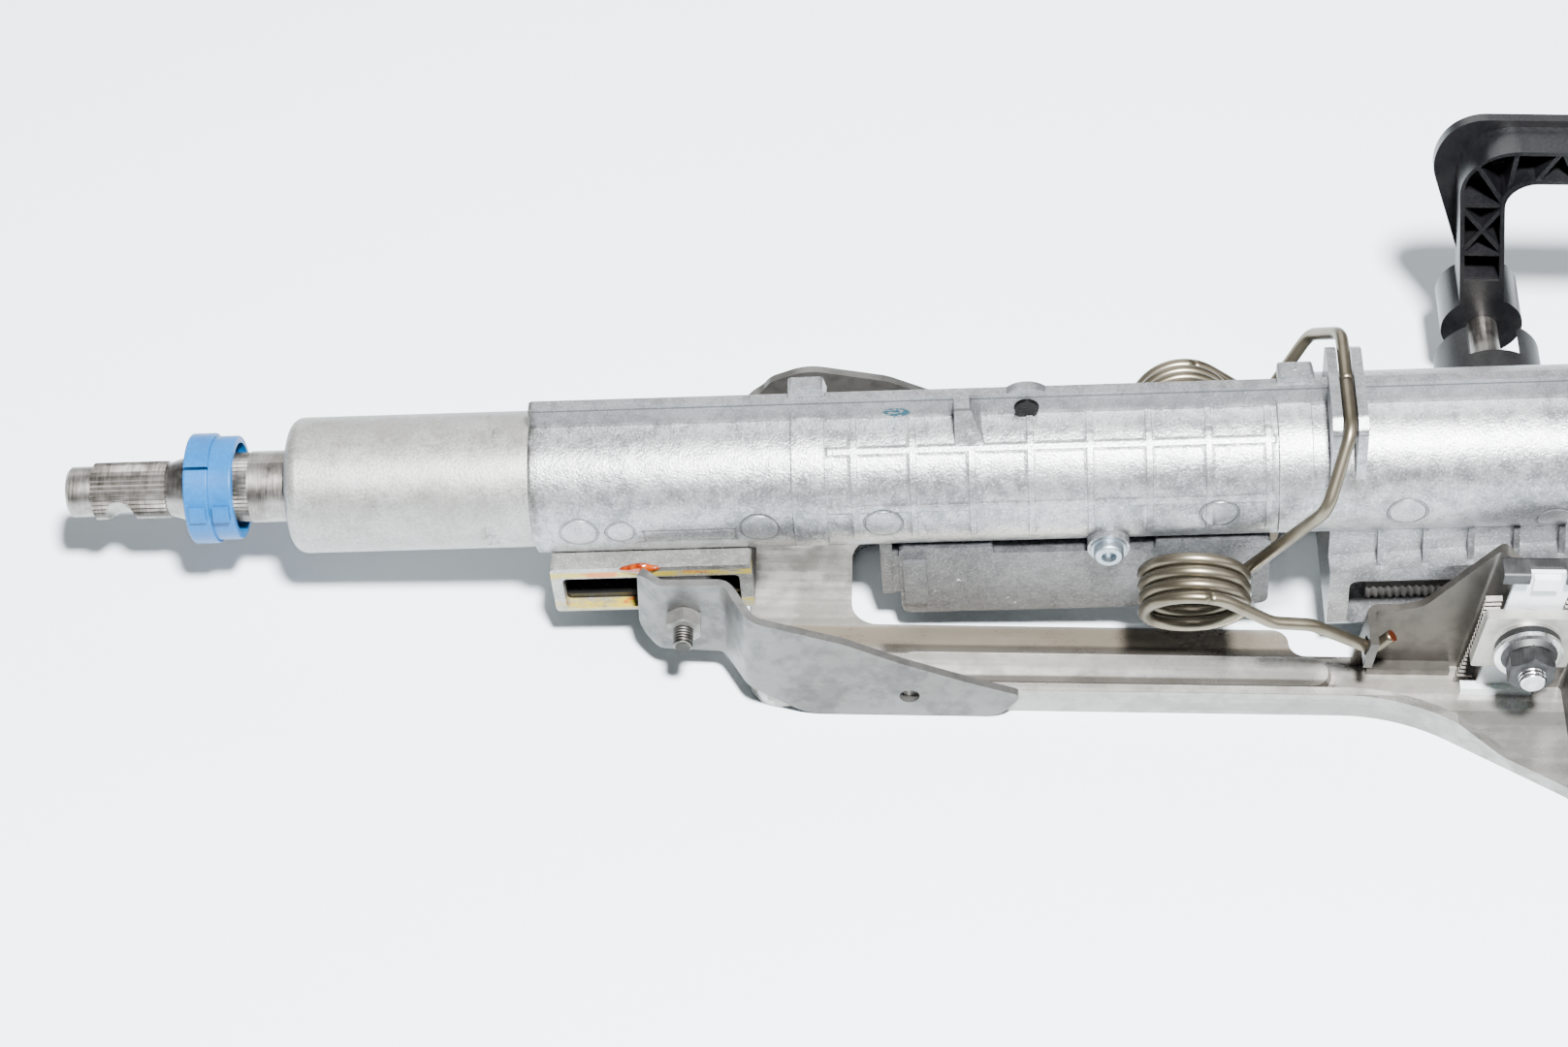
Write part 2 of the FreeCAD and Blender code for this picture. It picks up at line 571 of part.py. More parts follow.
def cheeks():
    """Cheeks of the clamp: hook tab, tall plate with slot and tilt racks, and a gusset to the wing."""
    mid = CHEEK_Y - CHEEK_SHEET / 2
    plate_mid = RACK_PLATE_Y - CHEEK_SHEET / 2
    path = [(TAB_X, TAB_REACH), (TAB_X, mid), (CHEEK_BEND_X, mid), (CHEEK_BEND_X + 5, plate_mid),
            (GUSSET_X, plate_mid), (GUSSET_X, GUSSET_REACH)]
    path = [(x - LEAN * CLAMP.z, y) for x, y in path]
    base = Part.Face(outline(strip(path, CHEEK_SHEET, CHEEK_BEND), plan, 0.0))
    blank = base.extrude(Vector(LEAN, 0, 1) * (CHEEK_TOP + 10))
    tall = [(TAB_X - 10, SHEET), (GUSSET_X + 12, SHEET), (GUSSET_X + 12, CHEEK_TOP),
            (CHEEK_BEND_X + 3, CHEEK_TOP, 3),
            (CHEEK_BEND_X - 17, CHEEK_LOW_TOP + 2, 8), (TAB_X + 8, CHEEK_LOW_TOP, 2), (TAB_X - 10,
                                                                                       CHEEK_LOW_TOP)]
    blank = blank.common(slab(tall, side, 0, WING_Y))
    tab_cut = [(TAB_REACH + 1, TAB_BOTTOM), (CHEEK_Y + 0.5, TAB_BOTTOM, 2), (CHEEK_Y + 0.5, -1),
               (TAB_REACH + 1, -1)]
    blank = blank.cut(slab(tab_cut, end, TAB_X - 12, TAB_X + 6))
    gusset_cut = [(RACK_PLATE_Y + 1.5, CHEEK_TOP - 12, 8), (GUSSET_REACH + 2, SHEET + 4),
                  (GUSSET_REACH + 2, CHEEK_TOP + 20),
                  (RACK_PLATE_Y + 1.5, CHEEK_TOP + 20)]
    blank = blank.cut(slab(gusset_cut, end, GUSSET_X - 6, GUSSET_X + 12))
    foot = box((TAB_X + 1, CHEEK_Y - CHEEK_SHEET, SHEET),
               (CHEEK_BEND_X - 6, CHEEK_Y + 3.6, SHEET + CHEEK_SHEET))
    hook = rod(Vector(TAB_X - 12, HOOK_HOLE_Y, HOOK_HOLE_Z), ALONG, HOOK_HOLE_R, 20)
    play = FREE + CLAMP_BOLT_R
    low = column_arc(-(TILT_DOWN_COUNT + 0.4) * TILT_TOOTH_ANGLE)
    high = column_arc((TILT_UP_COUNT + 0.4) * TILT_TOOTH_ANGLE)
    slot = [(low.x - play, low.z - play, play), (low.x + play, low.z - play, play),
            (high.x + play, high.z + play, play), (high.x - play, high.z + play, play)]
    slot = slab(slot, side, 0, WING_Y)
    teeth = []
    for left in (-TILT_RACK_HALF, TILT_RACK_HALF - TILT_RACK_WIDTH):
        teeth += tilt_rack_teeth(-TILT_BELOW_COUNT, TILT_ABOVE_COUNT, RACK_PLATE_Y - 0.2, RACK_FACE, left,
                                 left + TILT_RACK_WIDTH)
    cheek = fuse(blank, foot, *teeth).cut(hook).cut(slot)
    save("near_clamp_cheek", mirrored(cheek))
    save("far_clamp_cheek", cheek)


def column_arc(degrees):
    """Where the clamp axis goes when the column tilts by an angle."""
    angle = math.radians(ARC_LIFT + degrees)
    return Vector(PIVOT.x + ARC_R * math.cos(angle), 0, PIVOT.z + ARC_R * math.sin(angle))


def tilt_guides():
    """White slide plates between the racks, and the dark clips that hold them on the cheeks."""
    bottom = SHEET
    top = CHEEK_TOP - 0.5
    play = FREE + CLAMP_BOLT_R + 0.4
    low = column_arc(-(TILT_DOWN_COUNT + 0.6) * TILT_TOOTH_ANGLE)
    high = column_arc((TILT_UP_COUNT + 0.6) * TILT_TOOTH_ANGLE)
    left, right = CLAMP.x - GUIDE_PLATE_HALF, CLAMP.x + GUIDE_PLATE_HALF
    sheet = [(left + LEAN * (bottom - CLAMP.z), bottom), (right + LEAN * (bottom - CLAMP.z), bottom),
             (right + LEAN * (top - CLAMP.z), top, 1), (left + LEAN * (top - CLAMP.z), top, 1)]
    guide = slab(sheet, side, RACK_PLATE_Y, RACK_PLATE_Y + GUIDE_SHEET)
    slot = [(low.x - play, low.z - play, play), (low.x + play, low.z - play, play),
            (high.x + play, high.z + play, play), (high.x - play, high.z + play, play)]
    nub_x = CLAMP.x + LEAN * (top - CLAMP.z)
    nub = box((nub_x - GUIDE_NUB_WIDTH / 2, RACK_PLATE_Y, top - GUIDE_NUB_HEIGHT - 1),
              (nub_x + GUIDE_NUB_WIDTH / 2, RACK_PLATE_Y + GUIDE_NUB_OUT, top - 1))
    foot = box((left - GUIDE_FOOT_AHEAD + LEAN * (bottom - CLAMP.z), RACK_PLATE_Y, bottom),
               (right + LEAN * (bottom - CLAMP.z), RACK_PLATE_Y + GUIDE_NUB_OUT, bottom + GUIDE_FOOT_HEIGHT))
    guide = fuse(guide, nub, foot).cut(slab(slot, side, RACK_PLATE_Y - 1, RACK_PLATE_Y + 5))
    save("tilt_guides", guide, mirrored(guide))
    inner, outer = RACK_PLATE_Y - CHEEK_SHEET - CLIP_SHEET, RACK_PLATE_Y + GUIDE_NUB_OUT + 0.6
    path = [(inner + CLIP_SHEET / 2, CHEEK_TOP - CLIP_DROP),
            (inner + CLIP_SHEET / 2, CHEEK_TOP + CLIP_SHEET / 2),
            (outer - CLIP_SHEET / 2, CHEEK_TOP + CLIP_SHEET / 2), (outer - CLIP_SHEET / 2,
                                                                   CHEEK_TOP - CLIP_DROP * 0.45)]
    middle = CLAMP.x + LEAN * (CHEEK_TOP - CLAMP.z)
    clip = slab(strip(path, CLIP_SHEET, CLIP_SHEET * 0.52), end, middle - CLIP_LENGTH / 2,
                middle + CLIP_LENGTH / 2)
    half = CLIP_TAB_HALF
    notch = box((middle - half, RACK_PLATE_Y + FREE, CHEEK_TOP - CLIP_DROP),
                (middle + half, outer + 1, CHEEK_TOP + 3))
    clip = clip.cut(notch)
    for start in (middle - CLIP_LENGTH / 2 - 1, middle + half):
        stop = start + CLIP_LENGTH / 2 + 1 - half
        clip = clip.cut(box((start, inner - 1, CHEEK_TOP - CLIP_DROP - 1), (stop, RACK_PLATE_Y, CHEEK_TOP)))
    save("guide_clips", clip, mirrored(clip))


def front_pivot():
    """Shoulder studs in the arms, their nuts, and the black sliders that run in the guide."""
    inner_face = ARM_EYE_Y - ARM_SHEET
    start = Vector(PIVOT.x, STUD_INSIDE, PIVOT.z)
    stud = fuse(rod(start, ACROSS, STUD_SHOULDER_R, inner_face - STUD_INSIDE),
                rod(start, ACROSS, STUD_R, ARM_EYE_Y + STUD_OUTSIDE - STUD_INSIDE))
    tip = Vector(PIVOT.x, ARM_EYE_Y + STUD_OUTSIDE, PIVOT.z)
    chamfer = Part.makeCone(STUD_R, STUD_R * 0.72, 1.0, tip, ACROSS)
    stud = fuse(stud, chamfer)
    save("pivot_studs", stud, mirrored(stud))
    nut = hexagon(Vector(PIVOT.x, ARM_EYE_Y, PIVOT.z), ACROSS, PIVOT_NUT_FLATS, PIVOT_NUT_HEIGHT,
                  STUD_R + SEATED)
    save("pivot_nuts", nut, mirrored(nut))
    half = SLIDER_LENGTH / 2
    tall = GUIDE_SLOT_HEIGHT / 2 - RUNNING
    broad = GUIDE_RECESS_HEIGHT / 2 - FREE
    tongue = [(PIVOT_U - half, PIVOT_W - tall, 1.2), (PIVOT_U + half, PIVOT_W - tall, 1.2),
              (PIVOT_U + half, PIVOT_W + tall, 1.2), (PIVOT_U - half, PIVOT_W + tall, 1.2)]
    flange = [(PIVOT_U - half, PIVOT_W - broad, 2), (PIVOT_U + half, PIVOT_W - broad, 2),
              (PIVOT_U + half, PIVOT_W + broad, 2), (PIVOT_U - half, PIVOT_W + broad, 2)]
    floor = GUIDE_HALF_WIDTH - GUIDE_RECESS_DEPTH + RUNNING
    inner_end = GUIDE_HALF_WIDTH - GUIDE_SLOT_DEPTH + FREE
    slider = fuse(slab(tongue, side, inner_end, floor + 1),
                  slab(flange, side, floor, GUIDE_HALF_WIDTH + SLIDER_FLANGE))
    slider = on_column(slider)
    slider = slider.cut(rod(Vector(PIVOT.x, 0, PIVOT.z), ACROSS, STUD_SHOULDER_R + RUNNING, FLANGE_Y))
    save("pivot_sliders", slider, mirrored(slider))


def guide_channel():
    """Cast guide under the casing's front end with one long slot in each side."""
    corners = [(GUIDE_FRONT, GUIDE_BOTTOM, 1.5), (GUIDE_BACK, GUIDE_BOTTOM, 1.5),
               (GUIDE_BACK, GUIDE_TOP, 1.5),
               (GUIDE_FRONT, GUIDE_TOP, 1.5)]
    body = slab(corners, side, -GUIDE_HALF_WIDTH, GUIDE_HALF_WIDTH)
    body = body.cut(rod(Vector(GUIDE_FRONT - 1, 0, 0), ALONG, CASING_R + SEATED,
                        GUIDE_BACK - GUIDE_FRONT + 2))
    for height, depth in ((GUIDE_SLOT_HEIGHT, GUIDE_SLOT_DEPTH), (GUIDE_RECESS_HEIGHT, GUIDE_RECESS_DEPTH)):
        low, high, corner = PIVOT_W - height / 2, PIVOT_W + height / 2, GUIDE_SLOT_CORNER
        slot = [(GUIDE_SLOT_FRONT, low, corner), (GUIDE_SLOT_BACK, low, corner),
                (GUIDE_SLOT_BACK, high, corner), (GUIDE_SLOT_FRONT, high, corner)]
        for hand in (NEAR, FAR):
            ends = sorted((hand * (GUIDE_HALF_WIDTH + 1), hand * (GUIDE_HALF_WIDTH - depth)))
            body = body.cut(slab(slot, side, *ends))
    hollow = box((GUIDE_FRONT - 1, -14, GUIDE_BOTTOM - 1), (GUIDE_BACK + 1, 14, GUIDE_BOTTOM + 3.5))
    save("guide_channel", on_column(body.cut(hollow).removeSplitter()))


def casing():
    """Cast casing: bored barrel, wall with ear and gusset, pads, shallow ribs, clip fins, end flange."""
    tube_bore = TUBE_R + SEATED
    barrel = turned([(CASING_FRONT, tube_bore), (CASING_FRONT, CASING_R, 1.2),
                     (CASING_BACK - FLANGE_LENGTH - 10, CASING_R), (CASING_BACK - FLANGE_LENGTH, FLANGE_R, 3),
                     (CASING_BACK, FLANGE_R, 1.5), (CASING_BACK, BEARING_R + SEATED),
                     (UPPER_BEARING, BEARING_R + SEATED), (UPPER_BEARING, CASING_BORE_R),
                     (TUBE_BACK, CASING_BORE_R), (TUBE_BACK, tube_bore)])
    root = CASING_R - 0.9
    wall = [(CASING_FRONT + 0.8, root), (CASING_BACK - FLANGE_LENGTH, root),
            (CASING_BACK - FLANGE_LENGTH, WALL_TOP),
            (CASING_FRONT + 0.8, WALL_TOP, 1.5)]
    bulge = turned([(PAD_PLACES[1] + 4, root), (PAD_PLACES[1] + 4, BULGE_R, 1),
                    (CASING_BACK - FLANGE_LENGTH, BULGE_R),
                    (CASING_BACK - FLANGE_LENGTH, root)], BULGE_ARC, -BULGE_ARC)
    pieces = [barrel, bulge, slab(wall, side, 0, WALL_THICKNESS),
              rod(Vector(EAR_U, 0, EAR_W), ACROSS, EAR_R, WALL_THICKNESS)]
    front_view = [(GUSSET_U, root - 3), (GUSSET_U + GUSSET_BASE, root - 3),
                  (GUSSET_U + GUSSET_TIP, WALL_TOP - 0.8),
                  (GUSSET_U, WALL_TOP - 0.8)]
    end_view = [(0.5, root - 3), (-GUSSET_DEPTH - 1, root - 3), (-GUSSET_DEPTH + 7, WALL_TOP - 0.8),
                (0.5, WALL_TOP - 0.8)]
    pieces.append(slab(front_view, side, -GUSSET_DEPTH - 1, 0.5).common(
        slab(end_view, end, GUSSET_U, GUSSET_U + GUSSET_BASE)))
    for place in PAD_PLACES:
        pad = turned([(place, root), (place, CASING_R + PAD_HEIGHT, 0.3),
                      (place + PAD_WIDTH, CASING_R + PAD_HEIGHT, 0.3),
                      (place + PAD_WIDTH, root)], PAD_ARC, 0)
        pieces.append(pad)
        tab = [(place, WALL_TOP - 1), (place + PAD_WIDTH + 1, WALL_TOP - 1),
               (place + PAD_WIDTH, WALL_TOP + TAB_HEIGHT, 1),
               (place, WALL_TOP + TAB_HEIGHT, 1)]
        pieces.append(slab(tab, side, WALL_THICKNESS - 1.8, WALL_THICKNESS - 1.8 + TAB_DEPTH))
    for i in range(RIB_COUNT):
        place = RIB_FIRST + i * RIB_PITCH
        if place < PAD_PLACES[1] - RIB_WIDTH:
            pieces.append(turned([(place - RIB_WIDTH / 2, root),
                                  (place - RIB_WIDTH / 3, CASING_R + RIB_HEIGHT),
                                  (place + RIB_WIDTH / 3, CASING_R + RIB_HEIGHT), (place + RIB_WIDTH / 2,
                                                                                   root)], RIB_ARC, 0))
    for angle in RIB_LINES:
        line = box((PAD_PLACES[0] + PAD_WIDTH, -RIB_WIDTH / 3, root),
                   (PAD_PLACES[1], RIB_WIDTH / 3, CASING_R + RIB_HEIGHT))
        line.rotate(Vector(), ALONG, 90 - angle)
        pieces.append(line)
    gap = WIRE_R + BOW_CLEARANCE
    fin_view = [(FIN_NEAR - 0.8, 10), (FIN_NEAR, BOW_W - 1.5, 2), (FIN_NEAR + 4, BOW_W + 1.2, 3),
                (FIN_FAR - 4, BOW_W + 1.2, 3),
                (FIN_FAR, BOW_W - 2, 2), (FIN_FAR + 0.5, 12)]
    for side_of_wire in (-gap - FIN_THICKNESS, gap):
        place = BOW_U + side_of_wire
        pieces.append(slab(fin_view, end, place, place + FIN_THICKNESS))
    boss = rod(Vector(SCREW_BOSS_U, 0, -SCREW_DROP), ACROSS * -1, SCREW_BOSS_R, SCREW_BOSS_OUT)
    pieces.append(boss)
    shape = fuse(*pieces)
    core = rod(Vector(CASING_FRONT - 1, 0, 0), ALONG, CASING_BORE_R, CASING_BACK - CASING_FRONT + 2)
    core = core.fuse(rod(Vector(CASING_FRONT - 1, 0, 0), ALONG, tube_bore, TUBE_INSIDE + 1))
    shape = shape.cut(core)
    shape = shape.cut(box((BOW_U - gap, FIN_NEAR - 6, BOW_W), (BOW_U + gap, FIN_FAR + 6, BOW_W + 12)))
    shape = shape.cut(rod(Vector(EAR_U, -1, EAR_W), ACROSS, EAR_HOLE_R, WALL_THICKNESS + 2))
    shape = shape.cut(rod(Vector(SCREW_BOSS_U, -SCREW_BOSS_OUT - 1, -SCREW_DROP), ACROSS, SCREW_R + SEATED,
                          SCREW_LENGTH))
    for i in range(FLANGE_HOLE_COUNT):
        angle = math.radians(45 + 360 / FLANGE_HOLE_COUNT * i)
        y, z = FLANGE_PCD / 2 * math.cos(angle), FLANGE_PCD / 2 * math.sin(angle)
        shape = shape.cut(rod(Vector(CASING_BACK + 1, y, z), ALONG * -1, FLANGE_HOLE_R, FLANGE_LENGTH + 2))
    bolt_way = LOCK_BOLT_SIZE / 2 + FREE
    way = box((LOCK_BOLT_U - bolt_way, -bolt_way, -CASING_R - 1), (LOCK_BOLT_U + bolt_way, bolt_way, -10))
    shape = shape.cut(way)
    shape = on_column(shape.removeSplitter())
    shape = shape.cut(spring_bow(Vector(*SPRING_LEG_START), WIRE_R + BOW_CLEARANCE))
    save("column_casing", shape)


def casing_screw():
    """Socket-head screw that holds the lock housing through the casing's boss."""
    face = Vector(SCREW_BOSS_U, -SCREW_BOSS_OUT, -SCREW_DROP)
    out = ACROSS * -1
    head = rod(face, out, SCREW_HEAD_R, SCREW_HEAD_HEIGHT)
    head = head.makeFillet(0.9, [head.Edges[0]])
    washer = rod(face, out, SCREW_HEAD_R + 0.9, 0.7)
    socket = rod(face + out * (SCREW_HEAD_HEIGHT - 1.9), out, SCREW_HEAD_R * 0.52, 2)
    shank = rod(face, ACROSS, SCREW_R, SCREW_LENGTH - 2)
    save("lock_mounting_screw", on_column(fuse(head, washer, shank).cut(socket)))


def jacket_tube():
    """Aluminium tube pressed into the casing's front end, with a rounded closed mouth."""
    inner = TUBE_R - TUBE_WALL
    front = TUBE_FRONT
    shape = turned([(front, TUBE_MOUTH_R), (front, TUBE_R, TUBE_CORNER), (TUBE_BACK, TUBE_R),
                    (TUBE_BACK, inner),
                    (front + TUBE_WALL, inner, TUBE_CORNER - TUBE_WALL), (front + TUBE_WALL, TUBE_MOUTH_R)])
    save("jacket_tube", on_column(shape))


def ball_bearing(name, start):
    """Two races and a ring of balls, each its own piece; the outer race stands still."""
    inner_r = SHAFT_R + SEATED
    pitch_r = (BEARING_R + inner_r) / 2
    middle = start + BEARING_LENGTH / 2
    groove = Part.makeTorus(pitch_r, BALL_R + RUNNING, Vector(middle, 0, 0), ALONG)
    outer = turned([(start, BEARING_R - RACE_THICKNESS), (start, BEARING_R, 0.6),
                    (start + BEARING_LENGTH, BEARING_R, 0.6),
                    (start + BEARING_LENGTH, BEARING_R - RACE_THICKNESS)]).cut(groove)
    inner = turned([(start, inner_r), (start, inner_r + RACE_THICKNESS),
                    (start + BEARING_LENGTH, inner_r + RACE_THICKNESS),
                    (start + BEARING_LENGTH, inner_r)]).cut(groove)
    balls = []
    for i in range(BALL_COUNT):
        angle = math.radians(360 / BALL_COUNT * i)
        centre = Vector(middle, pitch_r * math.cos(angle), pitch_r * math.sin(angle))
        balls.append(on_column(Part.makeSphere(BALL_R, centre)))
    save(name + "_outer_race", on_column(outer))
    save(name + "_inner_race", on_column(inner))
    save(name + "_balls", *balls)


def circlip():
    """Open spring ring that keeps the upper bearing in the casing."""
    start = UPPER_BEARING + BEARING_LENGTH
    ring = turned([(start, BEARING_R - CIRCLIP_DEPTH - 1), (start, BEARING_R),
                   (start + CIRCLIP_THICKNESS, BEARING_R),
                   (start + CIRCLIP_THICKNESS,
                    BEARING_R - CIRCLIP_DEPTH - 1)], 360 - CIRCLIP_OPENING, CIRCLIP_OPENING / 2)
    save("bearing_circlip", on_column(ring))


def shafts():
    """Lower shaft with its splined joint end, and the hollow upper shaft that takes the wheel."""
    pieces = [rod(Vector(SPLINE_TIP + 1, 0, 0), ALONG, NOSE_R, NOSE_LENGTH - 1),
              Part.makeCone(NOSE_R - 1, NOSE_R, 1, Vector(SPLINE_TIP, 0, 0), ALONG),
              star(SPLINE_R, SPLINE_DEPTH, SPLINE_COUNT, SPLINE_START, SPLINE_LENGTH),
              Part.makeCone(SPLINE_R - SPLINE_DEPTH, KNURL_R - KNURL_DEPTH, NECK_LENGTH,
                            Vector(SPLINE_START + SPLINE_LENGTH, 0, 0), ALONG),
              star(KNURL_R, KNURL_DEPTH, KNURL_COUNT, KNURL_START, KNURL_LENGTH),
              rod(Vector(SHAFT_START, 0, 0), ALONG, SHAFT_R, SHAFT_TONGUE_START - SHAFT_START),
              rod(Vector(SHAFT_TONGUE_START, 0, 0), ALONG, SHAFT_TONGUE_R,
                  SHAFT_TONGUE_END - SHAFT_TONGUE_START)]
    lower = fuse(*pieces)
    turn = math.radians(GROOVE_TURN)
    out = Vector(0, -math.cos(turn), math.sin(turn))
    along_groove = Vector(0, -math.sin(turn), -math.cos(turn))
    centre = Vector(SPLINE_TIP + GROOVE_FROM_TIP, 0, 0) + out * GROOVE_OFFSET - along_groove * 20
    lower = lower.cut(rod(centre, along_groove, GROOVE_R, 40))
    save("lower_shaft", on_column(lower))
    wheel_start = CASING_BACK + WHEEL_END_GAP
    taper_end = wheel_start + WHEEL_TAPER_LENGTH
    spline_end = taper_end + WHEEL_SPLINE_LENGTH
    upper = fuse(rod(Vector(SHAFT_TONGUE_START, 0, 0), ALONG, SHAFT_R, wheel_start - SHAFT_TONGUE_START),
                 Part.makeCone(SHAFT_R, SPLINE_R, WHEEL_TAPER_LENGTH, Vector(wheel_start, 0, 0), ALONG),
                 star(SPLINE_R, SPLINE_DEPTH, SPLINE_COUNT, taper_end, WHEEL_SPLINE_LENGTH),
                 rod(Vector(spline_end, 0, 0), ALONG, WHEEL_THREAD_R, WHEEL_THREAD_LENGTH))
    upper = upper.cut(rod(Vector(SHAFT_TONGUE_START - 1, 0, 0), ALONG, SHAFT_TONGUE_R + RUNNING,
                          SHAFT_TONGUE_END - SHAFT_TONGUE_START + 4))
    save("upper_shaft", on_column(upper))


def shaft_ring():
    """Blue plastic ring in two steps with latch tabs, clipped on the lower shaft."""
    front, back = RING_FRONT, RING_FRONT + RING_LENGTH
    step = front + RING_LENGTH * 0.52
    seat = KNURL_R + SEATED
    ring = turned([(front, RING_R - RING_WALL), (front, RING_R, 0.8), (step, RING_R, 0.5),
                   (step, RING_R - RING_STEP),
                   (back, RING_R - RING_STEP, 0.8), (back, RING_R - RING_STEP - RING_WALL),
                   (step + 1, RING_R - RING_STEP - RING_WALL), (step + 1, seat), (step - 1, seat),
                   (step - 1, RING_R - RING_WALL)])
    pieces = [ring]
    for angle in (60, 240):
        for place in (step - RING_TAB_LENGTH - 1, step + 1):
            pieces.append(turned([(place, RING_R - RING_WALL), (place, RING_R + RING_TAB_HEIGHT, 0.4),
                                  (place + RING_TAB_LENGTH, RING_R + RING_TAB_HEIGHT, 0.4),
                                  (place + RING_TAB_LENGTH, RING_R - RING_WALL)], RING_TAB_ARC / 2, angle))
    shape = fuse(*pieces)
    split = box((front - 1, -RING_SPLIT / 2, 0), (step, RING_SPLIT / 2, RING_R + 4))
    split.rotate(Vector(), ALONG, 20)
    save("shaft_ring", on_column(shape.cut(split)))


def steering_lock():
    """Lock housing and cover under the casing, the lock bolt, and the slotted ring on the shaft."""
    corners = [(LOCK_FRONT, LOCK_BOTTOM, 3), (LOCK_BACK, LOCK_BOTTOM, 3), (LOCK_BACK, LOCK_TOP, 2),
               (LOCK_BACK - 34, LOCK_TOP, 1), (LOCK_BACK - 34, LOCK_TOP - 3, 1), (SCREW_BOSS_U + 12,
                                                                                  LOCK_TOP - 3),
               (LOCK_FRONT + 28, LOCK_TOP - 3, 1), (LOCK_FRONT + 28, LOCK_TOP, 1), (LOCK_FRONT, LOCK_TOP, 2)]
    body = slab(corners, side, LOCK_NEAR, LOCK_FAR)
    saddle = [(LOCK_FRONT + 4, LOCK_TOP - 2), (LOCK_BACK - 4, LOCK_TOP - 2), (LOCK_BACK - 4, -10),
              (LOCK_FRONT + 4, -10)]
    body = body.fuse(slab(saddle, side, -13, 13))
    body = body.cut(rod(Vector(LOCK_FRONT - 1, 0, 0), ALONG, CASING_R + SEATED, LOCK_BACK - LOCK_FRONT + 2))
    body = body.cut(rod(Vector(SCREW_BOSS_U, LOCK_NEAR - 1, -SCREW_DROP), ACROSS, SCREW_BOSS_R + FREE, 30))
    raised = box((LOCK_FRONT + 1.2, LOCK_NEAR - 1.6, LOCK_TOP - 24),
                 (LOCK_FRONT + 8, LOCK_NEAR, LOCK_TOP - 5))
    lug = box((LOCK_FRONT - 2.2, LOCK_NEAR + 1, LOCK_TOP - 21),
              (LOCK_FRONT + 1, LOCK_NEAR + 10, LOCK_TOP - 4))
    plate = box((LOCK_FRONT - 5.6, LOCK_NEAR + 2, LOCK_TOP - 23),
                (LOCK_FRONT - 2, LOCK_NEAR + 12, LOCK_TOP + 1))
    body = fuse(body, raised, lug, plate)
    body = body.cut(rod(Vector(LOCK_FRONT - 9, 0, 0), ALONG, CASING_R + SEATED, LOCK_BACK))
    way = LOCK_BOLT_SIZE / 2 + RUNNING
    body = body.cut(box((LOCK_BOLT_U - way, -way, LOCK_BOTTOM + 6), (LOCK_BOLT_U + way, way, 0)))
    cover = [(LOCK_FRONT + 3, LOCK_NEAR + 2.5, 2), (LOCK_BACK - 3, LOCK_NEAR + 2.5, 2),
             (LOCK_BACK - 3, LOCK_FAR - 2.5, 2),
             (LOCK_FRONT + 3, LOCK_FAR - 2.5, 2)]
    cover = slab(cover, plan, LOCK_BOTTOM - LOCK_COVER_THICKNESS / 2, LOCK_BOTTOM)
    save("lock_housing", on_column(body.removeSplitter()))
    save("lock_cover", on_column(cover))
    size = LOCK_BOLT_SIZE / 2
    top = -LOCK_RING_R - FREE
    bolt = box((LOCK_BOLT_U - size, -size, top - LOCK_BOLT_LENGTH), (LOCK_BOLT_U + size, size, top))
    save("lock_bolt", on_column(bolt.makeChamfer(0.8, bolt.Faces[5].Edges)))
    start = LOCK_BOLT_U - LOCK_RING_WIDTH / 2
    ring = rod(Vector(start, 0, 0), ALONG, LOCK_RING_R, LOCK_RING_WIDTH, SHAFT_R + SEATED)
    for i in range(LOCK_SLOT_COUNT):
        slot = box((start - 1, -LOCK_SLOT_WIDTH / 2, -LOCK_RING_R - 1),
                   (start + LOCK_RING_WIDTH + 1, LOCK_SLOT_WIDTH / 2, -LOCK_RING_R + LOCK_SLOT_DEPTH + 1))
        slot.rotate(Vector(), ALONG, 360 / LOCK_SLOT_COUNT * i)
        ring = ring.cut(slot)
    save("lock_ring", on_column(ring))


